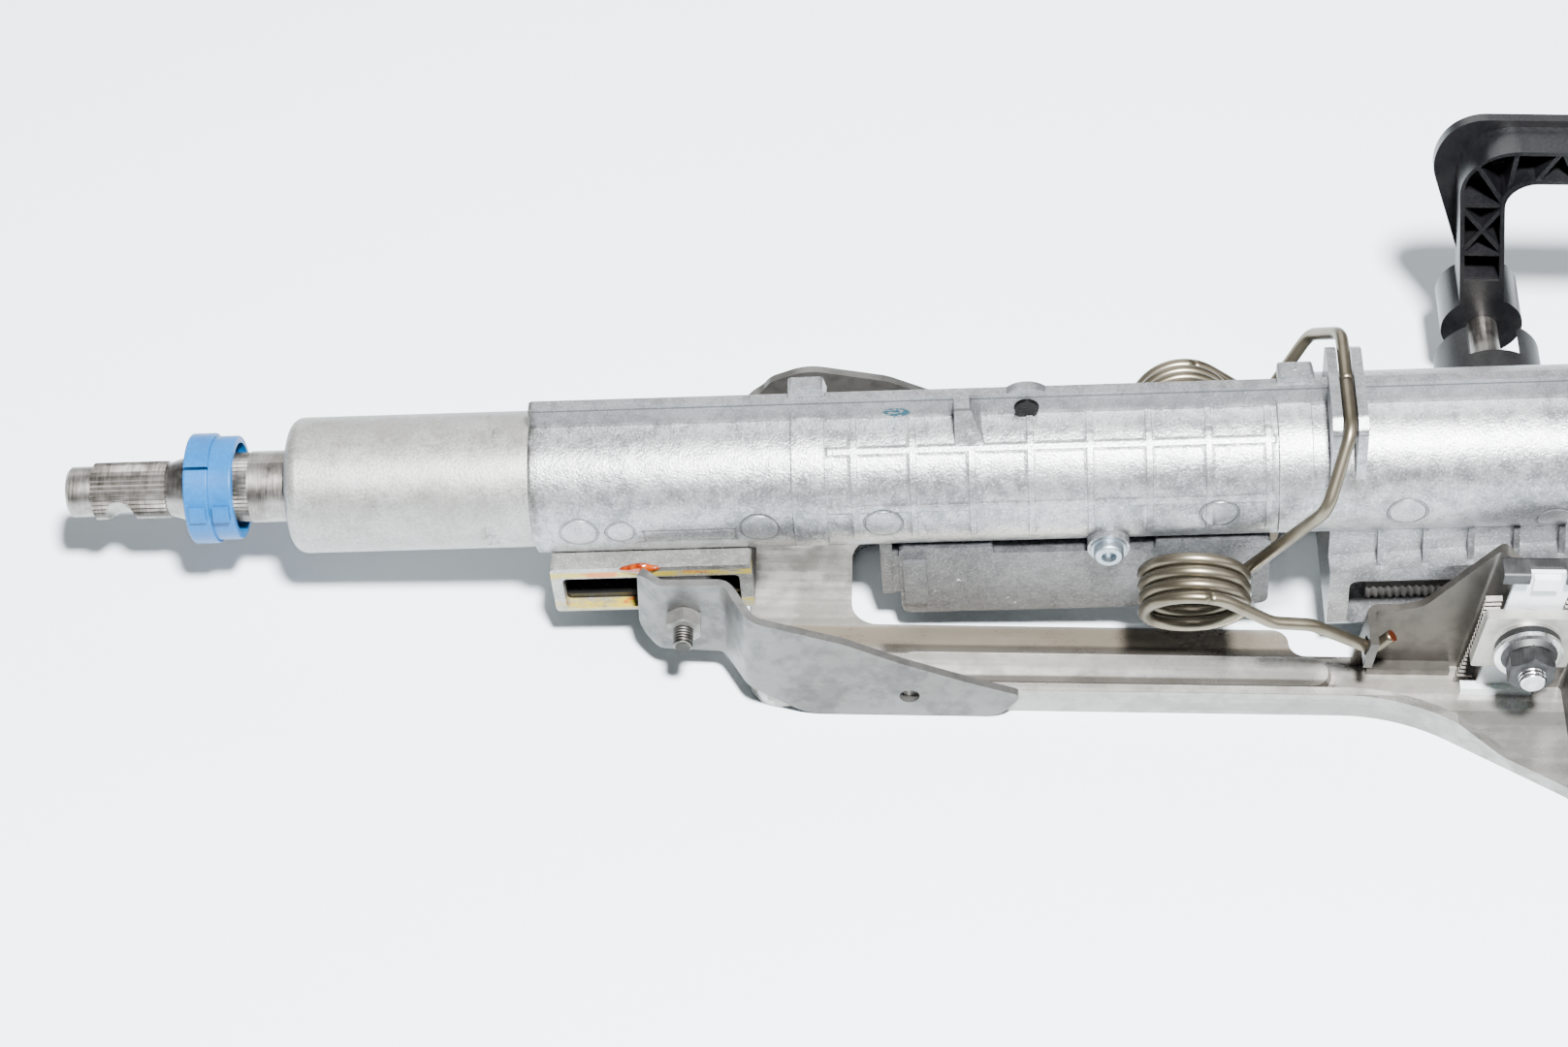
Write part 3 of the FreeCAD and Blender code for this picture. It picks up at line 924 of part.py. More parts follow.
def rack_housing():
    """Cast housing with a long window, and the bar in it whose teeth hold the reach."""
    profile = [(-HOUSING_HALF_WIDTH, HOUSING_BOTTOM, HOUSING_CORNER),
               (HOUSING_HALF_WIDTH, HOUSING_BOTTOM, HOUSING_CORNER),
               (HOUSING_HALF_WIDTH, -5), (-HOUSING_HALF_WIDTH, -5)]
    body = slab(profile, end, HOUSING_FRONT, HOUSING_BACK)
    shoulder = [(HOUSING_FRONT - 1, 0), (HOUSING_FRONT - 1, HOUSING_SHOULDER_FRONT),
                (HOUSING_BACK + 1, HOUSING_SHOULDER_BACK), (HOUSING_BACK + 1, 0)]
    for hand in (NEAR, FAR):
        ends = sorted((hand * HOUSING_NECK_HALF, hand * (HOUSING_HALF_WIDTH + 1)))
        body = body.cut(slab(shoulder, side, *ends))
    pieces = [body]
    for i in range(TOP_RIB_COUNT):
        place = HOUSING_FRONT + 14 + i * TOP_RIB_PITCH
        lift = HOUSING_SHOULDER_FRONT + (HOUSING_SHOULDER_BACK - HOUSING_SHOULDER_FRONT) * (
            place - HOUSING_FRONT) / (HOUSING_BACK - HOUSING_FRONT)
        rib = [(-HOUSING_HALF_WIDTH + 1.5, lift - 1), (HOUSING_HALF_WIDTH - 1.5, lift - 1),
               (HOUSING_NECK_HALF, -12), (-HOUSING_NECK_HALF, -12)]
        pieces.append(slab(rib, end, place, place + TOP_RIB_WIDTH))
    body = fuse(*pieces)
    body = body.cut(rod(Vector(HOUSING_FRONT - 1, 0, 0), ALONG, CASING_R + SEATED,
                        HOUSING_BACK - HOUSING_FRONT + 2))
    window = [(WINDOW_FRONT, WINDOW_BOTTOM, WINDOW_CORNER), (WINDOW_BACK, WINDOW_BOTTOM, WINDOW_CORNER),
              (WINDOW_BACK, WINDOW_TOP, WINDOW_CORNER), (WINDOW_FRONT, WINDOW_TOP, WINDOW_CORNER)]
    body = body.cut(slab(window, side, -HOUSING_HALF_WIDTH - 1, HOUSING_HALF_WIDTH + 1))
    save("rack_housing", on_column(body.removeSplitter()))
    save("reach_rack", on_column(reach_rack_bar()))


def reach_rack_bar():
    """Bar with upright teeth on both long sides, lying on the window's floor."""
    tip = REACH_RACK_HALF
    root = tip - REACH_TOOTH_DEPTH
    first = CLAMP_U - REACH_PITCH * (REACH_AHEAD_COUNT - 0.5)
    points = []
    for i in range(REACH_RACK_COUNT):
        place = first + i * REACH_PITCH
        points += [(place, root), (place + REACH_PITCH / 2, tip)]
    last = first + REACH_RACK_COUNT * REACH_PITCH
    points.append((last, root))
    outlines = points + [(u, -v) for u, v in points[::-1]]
    return slab(outlines, plan, WINDOW_BOTTOM, WINDOW_BOTTOM + REACH_RACK_HEIGHT)


def clamp_blocks():
    """Toothed blocks of the clamp: one outside each cheek for tilt, one in each window side for reach."""
    root = RACK_FACE + FREE + TILT_TOOTH_DEPTH
    teeth_each_way = int(TILT_BLOCK_HALF_HEIGHT / TILT_PITCH - 0.5)
    centre = Vector(CLAMP.x, 0, CLAMP.z)
    half, tall = TILT_RACK_HALF, TILT_BLOCK_HALF_HEIGHT
    shift = LEAN * tall
    square = [(CLAMP.x - half - shift, CLAMP.z - tall, 1), (CLAMP.x + half - shift, CLAMP.z - tall, 1),
              (CLAMP.x + half + shift, CLAMP.z + tall, 1), (CLAMP.x - half + shift, CLAMP.z + tall, 1)]
    pieces = [slab(square, side, root, TILT_BLOCK_FACE)]
    for left in (-TILT_RACK_HALF, TILT_RACK_HALF - TILT_RACK_WIDTH):
        pieces += tilt_rack_teeth_between(-teeth_each_way, teeth_each_way, root + 0.2, RACK_FACE + FREE, left,
                                          left + TILT_RACK_WIDTH)
    block = fuse(*pieces)
    block = block.cut(rod(centre, ACROSS, CLAMP_BOLT_R + SEATED, WING_Y))
    save("near_tilt_block", mirrored(block))
    save("far_tilt_block", block)
    low = WINDOW_BOTTOM + FREE
    back = CLAMP_BOLT_R + 3.5
    tip = REACH_RACK_HALF + FREE
    outer = HOUSING_HALF_WIDTH + 1.5
    points = []
    count = 4
    for i in range(-count, count):
        place = CLAMP_U + i * REACH_PITCH
        points += [(place, tip + REACH_TOOTH_DEPTH), (place + REACH_PITCH / 2, tip)]
    points.append((CLAMP_U + count * REACH_PITCH, tip + REACH_TOOTH_DEPTH))
    points += [(CLAMP_U + count * REACH_PITCH + 1, outer), (CLAMP_U - count * REACH_PITCH - 1, outer)]
    foot = slab(points, plan, low, CLAMP_W)
    head = [(CLAMP_U - 9.6, WINDOW_BOTTOM + REACH_RACK_HEIGHT + FREE, 1),
            (CLAMP_U + 9.6, WINDOW_BOTTOM + REACH_RACK_HEIGHT + FREE, 1),
            (CLAMP_U + 9.6, CLAMP_W + back - 2.2, 2), (CLAMP_U - 9.6, CLAMP_W + back - 2.2, 2)]
    lifted = slab(head, side, tip - 3, outer)
    block = fuse(foot, lifted).cut(rod(Vector(CLAMP_U, 0, CLAMP_W), ACROSS, CLAMP_BOLT_R + SEATED, WING_Y))
    block = on_column(block)
    save("near_reach_block", mirrored(block))
    save("far_reach_block", block)


def tilt_rack_teeth_between(low, high, root, tip, left, right):
    """Teeth that stand in the gaps of the rack's, half a pitch lower."""
    shifted = []
    for tooth in tilt_rack_teeth(low, high - 1, root, tip, left, right):
        tooth.rotate(Vector(PIVOT.x, 0, PIVOT.z), ACROSS, -TILT_TOOTH_ANGLE / 2)
        shifted.append(tooth)
    return shifted


def clamp_stack():
    """Bolt, nut and washers on the near side."""
    axis = Vector(CLAMP.x, 0, CLAMP.z)
    out = ACROSS * -1
    face = TILT_BLOCK_FACE
    at = lambda y: axis + out * y
    save("near_washer", rod(at(face), out, WASHER_R, WASHER_THICKNESS, CLAMP_BOLT_R + SEATED))
    face += WASHER_THICKNESS
    save("thrust_washer", rod(at(face), out, WASHER_R, THRUST_THICKNESS, CLAMP_BOLT_R + SEATED))
    face += THRUST_THICKNESS
    save("flange_washer", rod(at(face), out, WASHER_R + 0.3, FLANGE_WASHER_THICKNESS, CLAMP_BOLT_R + SEATED))
    face += FLANGE_WASHER_THICKNESS
    skirt = Part.makeCone(CLAMP_NUT_FLATS * 0.64, CLAMP_NUT_FLATS * 0.56, CLAMP_NUT_SKIRT, at(face), out)
    nut = fuse(hexagon(at(face), out, CLAMP_NUT_FLATS, CLAMP_NUT_HEIGHT), skirt)
    nut = nut.cut(rod(at(face - 1), out, CLAMP_BOLT_R + SEATED, CLAMP_NUT_HEIGHT + 2))
    save("clamp_nut", nut)
    tip = face + CLAMP_NUT_HEIGHT + BOLT_TIP
    head = HUB_BACK_Y
    shank = rod(at(tip - 1), ACROSS, CLAMP_BOLT_R, tip - 1 + head)
    point = Part.makeCone(CLAMP_BOLT_R, CLAMP_BOLT_R * 0.8, 1, at(tip - 1), out)
    cap = rod(axis + ACROSS * head, ACROSS, BOLT_HEAD_R, BOLT_HEAD_HEIGHT)
    cap = cap.makeChamfer(1.0, [cap.Edges[0]])
    save("clamp_bolt", fuse(shank, point, cap))


def cam_and_lever():
    """Cam pair, its cover and the ribbed plastic lever on the far side."""
    axis = Vector(CLAMP.x, 0, CLAMP.z)
    bore = CLAMP_BOLT_R + RUNNING
    face = TILT_BLOCK_FACE
    save("cam_washer", rod(axis + ACROSS * face, ACROSS, CAM_R, CAM_WASHER_THICKNESS, bore))
    face += CAM_WASHER_THICKNESS
    fixed = rod(axis + ACROSS * face, ACROSS, CAM_R, FIXED_CAM_THICKNESS, bore)
    key = box((CLAMP.x - CAM_R - 2, face, CLAMP.z - 3), (CLAMP.x + CAM_R + 2, face + 4, CLAMP.z + 3))
    fixed = fixed.fuse(key.cut(rod(axis + ACROSS * face, ACROSS, bore, 4)))
    save("fixed_cam", fixed.removeSplitter())
    face += FIXED_CAM_THICKNESS + CAM_GAP
    moving = fuse(rod(axis + ACROSS * face, ACROSS, CAM_R, MOVING_CAM_THICKNESS),
                  rod(axis + ACROSS * face, ACROSS, COLLAR_R, HUB_FRONT_Y + 8 - face))
    for i in range(CAM_LOBE_COUNT):
        angle = math.radians(360 / CAM_LOBE_COUNT * i)
        place = axis + Vector(9 * math.cos(angle), face - CAM_LOBE_HEIGHT, 9 * math.sin(angle))
        moving = moving.fuse(rod(place, ACROSS, 2.6, 1))
    moving = moving.cut(rod(axis + ACROSS * (face - 1), ACROSS, bore, 60))
    save("moving_cam", moving.removeSplitter())
    start = face - COVER_BEHIND
    length = COVER_BEHIND + MOVING_CAM_THICKNESS + COVER_AHEAD
    cover = rod(axis + ACROSS * start, ACROSS, COVER_R, length, COVER_R - COVER_WALL)
    web = rod(axis + ACROSS * (face + 1), ACROSS, COVER_R - 0.5, 2.0, CAM_R + SEATED)
    cover = cover.fuse(web)
    for turn in (90 - COVER_WINDOW / 2, 270 - COVER_WINDOW / 2):
        wedge = slab([(0, 0), (COVER_R * 3, 0), (COVER_R * 3 * math.cos(math.radians(COVER_WINDOW)),
                                                COVER_R * 3 * math.sin(math.radians(COVER_WINDOW)))],
                     side, face + 4, HUB_FRONT_Y + 1)
        wedge.rotate(Vector(), ACROSS, -turn)
        wedge.translate(Vector(CLAMP.x, 0, CLAMP.z))
        cover = cover.cut(wedge)
    save("cam_cover", cover.removeSplitter())
    save("lever", lever_shape())


def lever_shape():
    """Hub, leaning arm and level handle: a ribbed box open to the near side, with a thin brim outside."""
    lean = math.tan(math.radians(LEVER_LEAN))
    half = LEVER_ARM_HALF

    def left(z):
        return -half - lean * z

    def right(z):
        return half - lean * z
    back = HUB_FRONT_Y + LEVER_DEPTH
    core = [(left(0), 0), (right(0), 0), (right(HANDLE_LOW), HANDLE_LOW, LEVER_INNER_BEND),
            (HANDLE_END, HANDLE_LOW, 5), (HANDLE_END, HANDLE_TOP, 7), (left(HANDLE_TOP), HANDLE_TOP, 16)]
    brim = [(left(BRIM_START), BRIM_START), (left(BRIM_TOP) - BRIM_OUT, HANDLE_LOW, 22),
            (left(BRIM_TOP) + 1, BRIM_TOP, 22), (HANDLE_END + 3, BRIM_TOP, 10), (HANDLE_END + 3,
                                                                                 HANDLE_LOW + 4, 5),
            (0, HANDLE_LOW + 4, 6), (0, BRIM_START)]
    body = slab(core, side, HUB_FRONT_Y, back)
    skin = slab(brim, side, back - BRIM_DEPTH, back)
    rim = LEVER_RIB
    low = HUB_R + 8
    pocket = [(left(low) + rim, low), (right(low) - rim, low),
              (right(HANDLE_LOW) - rim, HANDLE_LOW + rim, LEVER_INNER_BEND),
              (HANDLE_END - rim, HANDLE_LOW + rim, 3), (HANDLE_END - rim, HANDLE_TOP - rim, 5),
              (left(HANDLE_TOP) + rim, HANDLE_TOP - rim, 14)]
    body = body.cut(slab(pocket, side, HUB_FRONT_Y - 1, back - LEVER_SKIN))
    ends = []
    for z in LEVER_CROSS_RIBS:
        ends.append(((left(z), z), (right(z), z)))
    low, high = LEVER_CROSS_RIBS[1], LEVER_CROSS_RIBS[2]
    ends += [((left(low), low), (right(high), high)), ((right(low), low), (left(high), high)),
             ((right(high), high), (left(HANDLE_TOP) + 4, HANDLE_TOP - 3)), ((right(high), high),
                                                                             (0, HANDLE_TOP))]
    bays = int((HANDLE_END - right(HANDLE_LOW) - LEVER_INNER_BEND) / LEVER_BAY)
    for i in range(bays):
        x = right(HANDLE_LOW) + LEVER_INNER_BEND + i * LEVER_BAY
        ends += [((x, HANDLE_LOW), (x + LEVER_BAY / 2, HANDLE_TOP)),
                 ((x + LEVER_BAY / 2, HANDLE_TOP), (x + LEVER_BAY, HANDLE_LOW))]
    ribs = []
    inside = slab(core, side, HUB_FRONT_Y + 0.6, back - LEVER_SKIN + 0.2)
    for start, finish in ends:
        direction = Vector(finish[0] - start[0], 0, finish[1] - start[1])
        rib = box((0, HUB_FRONT_Y + 0.6, -LEVER_RIB / 2), (direction.Length, back - 1, LEVER_RIB / 2))
        rib.rotate(Vector(), ACROSS, -math.degrees(math.atan2(direction.z, direction.x)))
        rib.translate(Vector(start[0], 0, start[1]))
        ribs.append(rib.common(inside))
    hub = rod(Vector(0, HUB_FRONT_Y, 0), ACROSS, HUB_R, HUB_BACK_Y - CLAMP_STROKE - HUB_FRONT_Y)
    shape = fuse(body, skin, hub, *ribs)
    shape = shape.cut(rod(Vector(0, HUB_FRONT_Y - 1, 0), ACROSS, COLLAR_R + SEATED, 9 + SEATED))
    shape = shape.cut(rod(Vector(0, HUB_FRONT_Y - 1, 0), ACROSS, CLAMP_BOLT_R + RUNNING, 40))
    shape.translate(Vector(CLAMP.x, 0, CLAMP.z))
    return shape


def bent_wire(points, radius):
    """Path in space of straight lines with an arc at each inner corner."""
    edges = []
    last = points[0]
    for before, corner, after in zip(points, points[1:], points[2:]):
        back, ahead = (before - corner).normalize(), (after - corner).normalize()
        half = math.acos(max(-1.0, min(1.0, back.dot(ahead)))) / 2
        reach = min(radius / math.tan(half), (corner - before).Length * 0.48, (after - corner).Length * 0.48)
        middle = corner + (back + ahead).normalize() * (reach / math.cos(half) - reach * math.tan(half))
        edges.append(Part.LineSegment(last, corner + back * reach).toShape())
        edges.append(Part.Arc(corner + back * reach, middle, corner + ahead * reach).toShape())
        last = corner + ahead * reach
    edges.append(Part.LineSegment(last, points[-1]).toShape())
    return Part.Wire(edges)


def spring_bow(start, radius):
    """The spring's bow, from one coil over the casing to the other."""
    top = column_point(BOW_U, 0, BOW_W)
    half = [start, Vector(*BOW_KNEE), Vector(top.x, BOW_HALF, top.z)]
    path = half + [Vector(p.x, -p.y, p.z) for p in half[::-1]]
    section = Part.Wire(Part.makeCircle(radius, path[0], path[1] - path[0]))
    return bent_wire(path, LEG_BEND).makePipeShell([section], True, True)


def balance_spring():
    """Hook leg, coil and leg to the bow over the casing, and the same again on the other side."""
    centre = Vector(COIL_X, COIL_Y, COIL_Z)
    droop = FreeCAD.Rotation(ALONG, -COIL_DROOP)
    steps = int((COIL_OUTER - COIL_INNER) / COIL_PITCH * 360 / COIL_STEP)
    coil = []
    for i in range(steps + 1):
        angle = math.radians(COIL_START - i * COIL_STEP)
        rise = COIL_INNER + (COIL_OUTER - COIL_INNER) * i / steps
        coil.append(centre + droop.multVec(Vector(COIL_R * math.cos(angle), rise, COIL_R * math.sin(angle))))
    curve = Part.BSplineCurve()
    curve.interpolate(coil)
    hook = [coil[-1]] + [Vector(*point) for point in HOOK_LEG]
    lines = [Part.Wire(curve.toShape()), bent_wire(hook, LEG_BEND)]
    starts = [(coil[0], coil[1] - coil[0]), (hook[0], hook[1] - hook[0])]
    solids = []
    for line, (point, heading) in zip(lines, starts):
        section = Part.Wire(Part.makeCircle(WIRE_R, point, heading))
        solids.append(line.makePipeShell([section], True, True))
    bridge = spring_bow(coil[0], WIRE_R)
    save("balance_spring", bridge, *solids, *[mirrored(piece) for piece in solids])


def foam_pad():
    """Small dark pad on the far arm's edge."""
    y = FLANGE_Y + ARM_SHEET + FREE / 3
    pad = box((FOAM_X - FOAM_LENGTH / 2, y, 24), (FOAM_X + FOAM_LENGTH / 2, y + FOAM_THICKNESS,
                                                  24 + FOAM_HEIGHT))
    save("foam_pad", pad)


mounting_bracket()
pivot_arms()
cheeks()
tilt_guides()
front_pivot()
guide_channel()
casing()
casing_screw()
jacket_tube()
ball_bearing("lower_bearing", LOWER_BEARING)
ball_bearing("upper_bearing", UPPER_BEARING)
circlip()
shafts()
shaft_ring()
steering_lock()
rack_housing()
clamp_blocks()
clamp_stack()
cam_and_lever()
balance_spring()
foam_pad()
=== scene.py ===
"""Looks of an adjustable steering column: camera, light, finishes, balance spring and grease."""
import json
import math
import bpy
import bmesh
from mathutils import Matrix, Vector


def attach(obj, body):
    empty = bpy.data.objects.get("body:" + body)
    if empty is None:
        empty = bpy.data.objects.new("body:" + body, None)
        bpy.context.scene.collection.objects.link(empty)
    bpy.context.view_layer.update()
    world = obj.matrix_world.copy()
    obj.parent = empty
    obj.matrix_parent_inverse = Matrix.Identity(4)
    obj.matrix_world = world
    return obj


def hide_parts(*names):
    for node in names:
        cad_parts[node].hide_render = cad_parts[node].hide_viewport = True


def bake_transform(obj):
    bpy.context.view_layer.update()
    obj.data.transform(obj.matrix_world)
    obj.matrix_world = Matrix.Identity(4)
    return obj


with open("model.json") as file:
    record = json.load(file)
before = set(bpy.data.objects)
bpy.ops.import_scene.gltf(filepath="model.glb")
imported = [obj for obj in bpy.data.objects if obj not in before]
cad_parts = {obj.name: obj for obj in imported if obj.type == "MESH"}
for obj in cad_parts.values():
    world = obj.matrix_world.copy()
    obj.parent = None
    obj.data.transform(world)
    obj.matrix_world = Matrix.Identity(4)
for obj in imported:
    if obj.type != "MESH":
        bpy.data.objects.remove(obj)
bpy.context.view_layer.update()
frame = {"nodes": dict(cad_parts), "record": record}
nodes, scene = frame["nodes"], bpy.context.scene

# Camera
# The photograph looks down on the column at 50 degrees, a little from the right, through a long lens. The
# picture is tilted by a quarter of a degree.
AZIMUTH, ELEVATION, ROLL = math.radians(1.4), math.radians(50.0), math.radians(-0.25)
DISTANCE, TARGET = 1.07, Vector((-0.004, 0.0, 0.030))
SENSOR, LENS = 36.0, 80.99
level = math.cos(ELEVATION)
back = Vector((math.sin(AZIMUTH) * level, -math.cos(AZIMUTH) * level, math.sin(ELEVATION)))
right = Vector((math.cos(AZIMUTH), math.sin(AZIMUTH), 0.0))
upward = back.cross(right)
rolled_right = right * math.cos(ROLL) + upward * math.sin(ROLL)
rolled_up = upward * math.cos(ROLL) - right * math.sin(ROLL)
facing = Matrix((rolled_right, rolled_up, back)).transposed().to_4x4()
camera = bpy.data.objects.new("camera", bpy.data.cameras.new("camera"))
scene.collection.objects.link(camera)
camera.matrix_world = Matrix.Translation(TARGET + back * DISTANCE) @ facing
camera.data.sensor_fit = "HORIZONTAL"
camera.data.sensor_width = SENSOR
camera.data.lens = LENS
scene.camera = camera

# Light
# A small strong lamp high in front throws the sharp shadows. A broad weak one stands behind, a faint one
# on the right, and a dim pale room fills in the rest.
LAMPS = {"key": ((0.17, -0.60, 1.42), 0.17, 165.0),
         "fill": ((1.3, -0.2, 0.9), 0.9, 8.0),
         "rear": ((-0.2, 1.55, 1.10), 1.7, 24.0)}
AIM = Vector((0.02, 0.0, 0.03))
ROOM_COLOUR, ROOM_STRENGTH = (0.86, 0.91, 1.0, 1.0), 0.12
for name, (place, size, power) in LAMPS.items():
    lamp = bpy.data.objects.new(name, bpy.data.lights.new(name, "AREA"))
    lamp.data.shape = "DISK"
    lamp.data.size = size
    lamp.data.energy = power
    lamp.location = place
    lamp.rotation_euler = (AIM - Vector(place)).to_track_quat("-Z", "Y").to_euler()
    scene.collection.objects.link(lamp)
room = bpy.data.worlds.new("room")
room.use_nodes = True
room.node_tree.nodes["Background"].inputs["Color"].default_value = ROOM_COLOUR
room.node_tree.nodes["Background"].inputs["Strength"].default_value = ROOM_STRENGTH
scene.world = room

# Mounting bracket
# The plated sheet steel plate that is bolted to the car and carries everything. It is pressed to shape:
# its rails are bright, with painted reflections in tan stripes along the window's edge and in dark stripes
# along X, painted shade in dark lines at the foot of the bead, and its flange painted a darker grey.
MM = 0.001
looks = {}


class Maths:
    """A shader socket that adds, multiplies and compares like a number."""

    def __init__(self, tree, socket):
        self.tree, self.socket = tree, socket

    def node(self, kind, settings, sockets, output=0):
        """One output of a new node, made with its settings and the value or link of each socket."""
        made = self.tree.nodes.new("ShaderNode" + kind)
        for key, value in settings.items():
            setattr(made, key, value)
        for key, value in sockets.items():
            if isinstance(value, Maths):
                self.tree.links.new(value.socket, made.inputs[key])
            else:
                made.inputs[key].default_value = value
        return Maths(self.tree, made.outputs[output])

    def maths(self, operation, *others):
        return self.node("Math", {"operation": operation}, dict(enumerate((self, *others))))

    def __add__(self, other):
        return self.maths("ADD", other)

    __radd__ = __add__

    def __sub__(self, other):
        return self.maths("SUBTRACT", other)

    def __rsub__(self, other):
        return self.node("Math", {"operation": "SUBTRACT"}, {0: other, 1: self})

    def __mul__(self, other):
        return self.maths("MULTIPLY", other)

    __rmul__ = __mul__

    def __abs__(self):
        return self.maths("ABSOLUTE")

    def ramp(self, start, end):
        """Goes smoothly from 0 at start to 1 at end, whichever of the two is larger."""
        low, high = (0.0, 1.0) if start < end else (1.0, 0.0)
        return self.node("MapRange", {"interpolation_type": "SMOOTHSTEP"},
                         {0: self, 1: min(start, end), 2: max(start, end), 3: low, 4: high})

    def band(self, start, full, fading, end):
        """1 from full to fading, and 0 before start and past end."""
        return self.ramp(start, full) * self.ramp(end, fading)

    def fade(self, first, second):
        """Blends two colours, the first where this is 0."""
        ends = [colour if isinstance(colour, Maths) else (*colour, 1.0) for colour in (first, second)]
        return self.node("Mix", {"data_type": "RGBA"}, {0: self, 6: ends[0], 7: ends[1]}, 2)


class Finish:
    """A principled material whose patterns lie on the object's own coordinates."""

    def __init__(self, name, colour, metallic, roughness, **fixed):
        self.material = bpy.data.materials.new(name)
        self.material.use_nodes = True
        tree = self.material.node_tree
        self.shader = tree.nodes["Principled BSDF"]
        self.shader.inputs["Base Color"].default_value = (*colour, 1.0)
        self.shader.inputs["Metallic"].default_value = metallic
        self.shader.inputs["Roughness"].default_value = roughness
        for key, value in fixed.items():
            self.shader.inputs[key.replace("_", " ")].default_value = value
        self.place = Maths(tree, tree.nodes.new("ShaderNodeTexCoord").outputs["Object"])
        self.colour = colour

    def noise(self, scale, detail=4.0, rough=0.55, stretch=(1.0, 1.0, 1.0)):
        """Clouds from 0 to 1, about as many to the metre as scale says, and longer where stretch is small."""
        spread = self.place.node("Mapping", {}, {"Vector": self.place, "Scale": stretch})
        return spread.node("TexNoise", {},
                           {"Vector": spread, "Scale": scale, "Detail": detail, "Roughness": rough})

    def near(self, point, shares=(1.0, 1.0, 1.0)):
        """Distance from a point in millimetres, each axis counted by its share."""
        centre, scale = [value * MM for value in point], [share / MM for share in shares]
        step = self.place.node("VectorMath", {"operation": "SUBTRACT"}, {0: self.place, 1: centre})
        step = step.node("VectorMath", {"operation": "MULTIPLY"}, {0: step, 1: scale})
        return step.node("VectorMath", {"operation": "LENGTH"}, {0: step}, "Value")

    def axis(self, which):
        """Place along X, Y or Z in millimetres."""
        return self.place.node("SeparateXYZ", {}, {0: self.place}, which) * (1.0 / MM)

    def paint(self, share, colour):
        """Lays a colour over the present one, as thickly as share says."""
        self.colour = share.fade(self.colour, colour)

    def set(self, **sockets):
        for key, value in sockets.items():
            self.place.tree.links.new(value.socket, self.shader.inputs[key.replace("_", " ")])

    def done(self, height=None, depth=0.0, strength=1.0):
        """The material with its painted colour, and with bumps as deep as depth, in metres."""
        self.set(Base_Color=self.colour)
        if height is not None:
            sockets = {"Distance": depth, "Strength": strength, "Height": height}
            self.set(Normal=height.node("Bump", {}, sockets))
        return self.material


SHEET_METALLIC, SHEET_GRAIN, SHEET_BUMP = 0.72, 0.12 * MM, 0.3
SPECK = (0.05, 0.045, 0.04)


def sheet_metal(name, dark, light, tint, rough, streaked_reflection=0.0):
    """Plated or oiled sheet steel: cloudy tint, dark stripes of painted reflection along X, and small dark
    specks.
    """
    finish = Finish(name, light, SHEET_METALLIC, rough)
    cloud, fine = finish.noise(16, 6, 0.62), finish.noise(190)
    stain = finish.noise(38, 5, 0.7, (0.7, 1.0, 1.0))
    lines = finish.noise(900, 2, 0.5, (0.04, 1.0, 1.0))
    reflection_stripes = finish.noise(150, 3, 0.6, (0.03, 1.0, 1.0)).ramp(0.42, 0.60)
    specks = finish.noise(620, 3, 0.75).ramp(0.71, 0.75)
    finish.paint(0.6 * cloud.ramp(0.40, 0.66), tint)
    # painted reflection: dark stripes along X
    finish.paint(streaked_reflection * reflection_stripes, dark)
    finish.paint(0.5 * fine.ramp(0.42, 0.7), dark)
    finish.paint(0.35 * stain.ramp(0.55, 0.60), dark)
    finish.paint(0.75 * specks, SPECK)
    finish.set(Roughness=rough - 0.16 + 0.2 * fine + 0.12 * lines + 0.12 * stain.ramp(0.4, 0.62))
    finish.height = 0.5 * lines + 0.5 * fine
    return finish


WINDOW_EDGE, FLANGE, BEAD_RUN = (17.2, 18.5, 24.0, 27.5), (46.6, 46.9), (24.0, 28.0, 162.0, 166.0)
BEAD_INNER, BEAD_OUTER = (23.8, 25.2, 27.6, 28.6), (37.0, 38.2, 40.0, 40.8)
TAN_REFLECTION, BEAD_FOOT_SHADE, FLANGE_GREY = (0.215, 0.180, 0.130), (0.060, 0.053, 0.043), (0.110, 0.108, 0.102)
bracket = sheet_metal("bracket", (0.200, 0.190, 0.170), (0.520, 0.515, 0.500), (0.360, 0.335, 0.290), 0.24,
                      streaked_reflection=0.6)
side = abs(bracket.axis(1))
reflection_patches = bracket.noise(50, 3, 0.5, (0.1, 1.0, 1.0)).ramp(0.25, 0.55)
# painted reflection: patchy tan stripes along the window's edge
bracket.paint(0.8 * side.band(*WINDOW_EDGE) * reflection_patches, TAN_REFLECTION)
# painted shade: dark lines at the foot of the bead
bead_foot = (side.band(*BEAD_INNER) + side.band(*BEAD_OUTER)) * bracket.axis(0).band(*BEAD_RUN)
bracket.paint(0.85 * bead_foot, BEAD_FOOT_SHADE)
# the flange past the rail is painted a darker grey
bracket.paint(0.6 * side.ramp(*FLANGE), FLANGE_GREY)
looks["mounting_bracket"] = bracket.done(bracket.height, SHEET_GRAIN, SHEET_BUMP)

# Pivot arms and clamp cheeks
# Four brackets of thicker sheet steel, fixed on the plate: the arms hold the front pivot, and the cheeks
# hold the tilt racks and the clamp. They are oiled and darker than the plate.
arm = sheet_metal("arm_steel", (0.045, 0.045, 0.044), (0.129, 0.129, 0.126), (0.084, 0.078, 0.071), 0.36)
cheek = sheet_metal("cheek_steel", (0.034, 0.031, 0.028), (0.076, 0.073, 0.067), (0.055, 0.049, 0.040), 0.38)
looks["arm_steel"] = arm.done(arm.height, SHEET_GRAIN, SHEET_BUMP)
looks["cheek_steel"] = cheek.done(cheek.height, SHEET_GRAIN, SHEET_BUMP)

# Pivot studs and nuts
# Small threaded steel studs through the arms, each with a nut of grey plated steel. The thread is painted
# lighter on its crests, a painted highlight, and darker between them, where old dirt sits.
THREAD_DEPTH, THREAD_BUMP = 0.4 * MM, 0.6
STUD_PITCH = 1.0


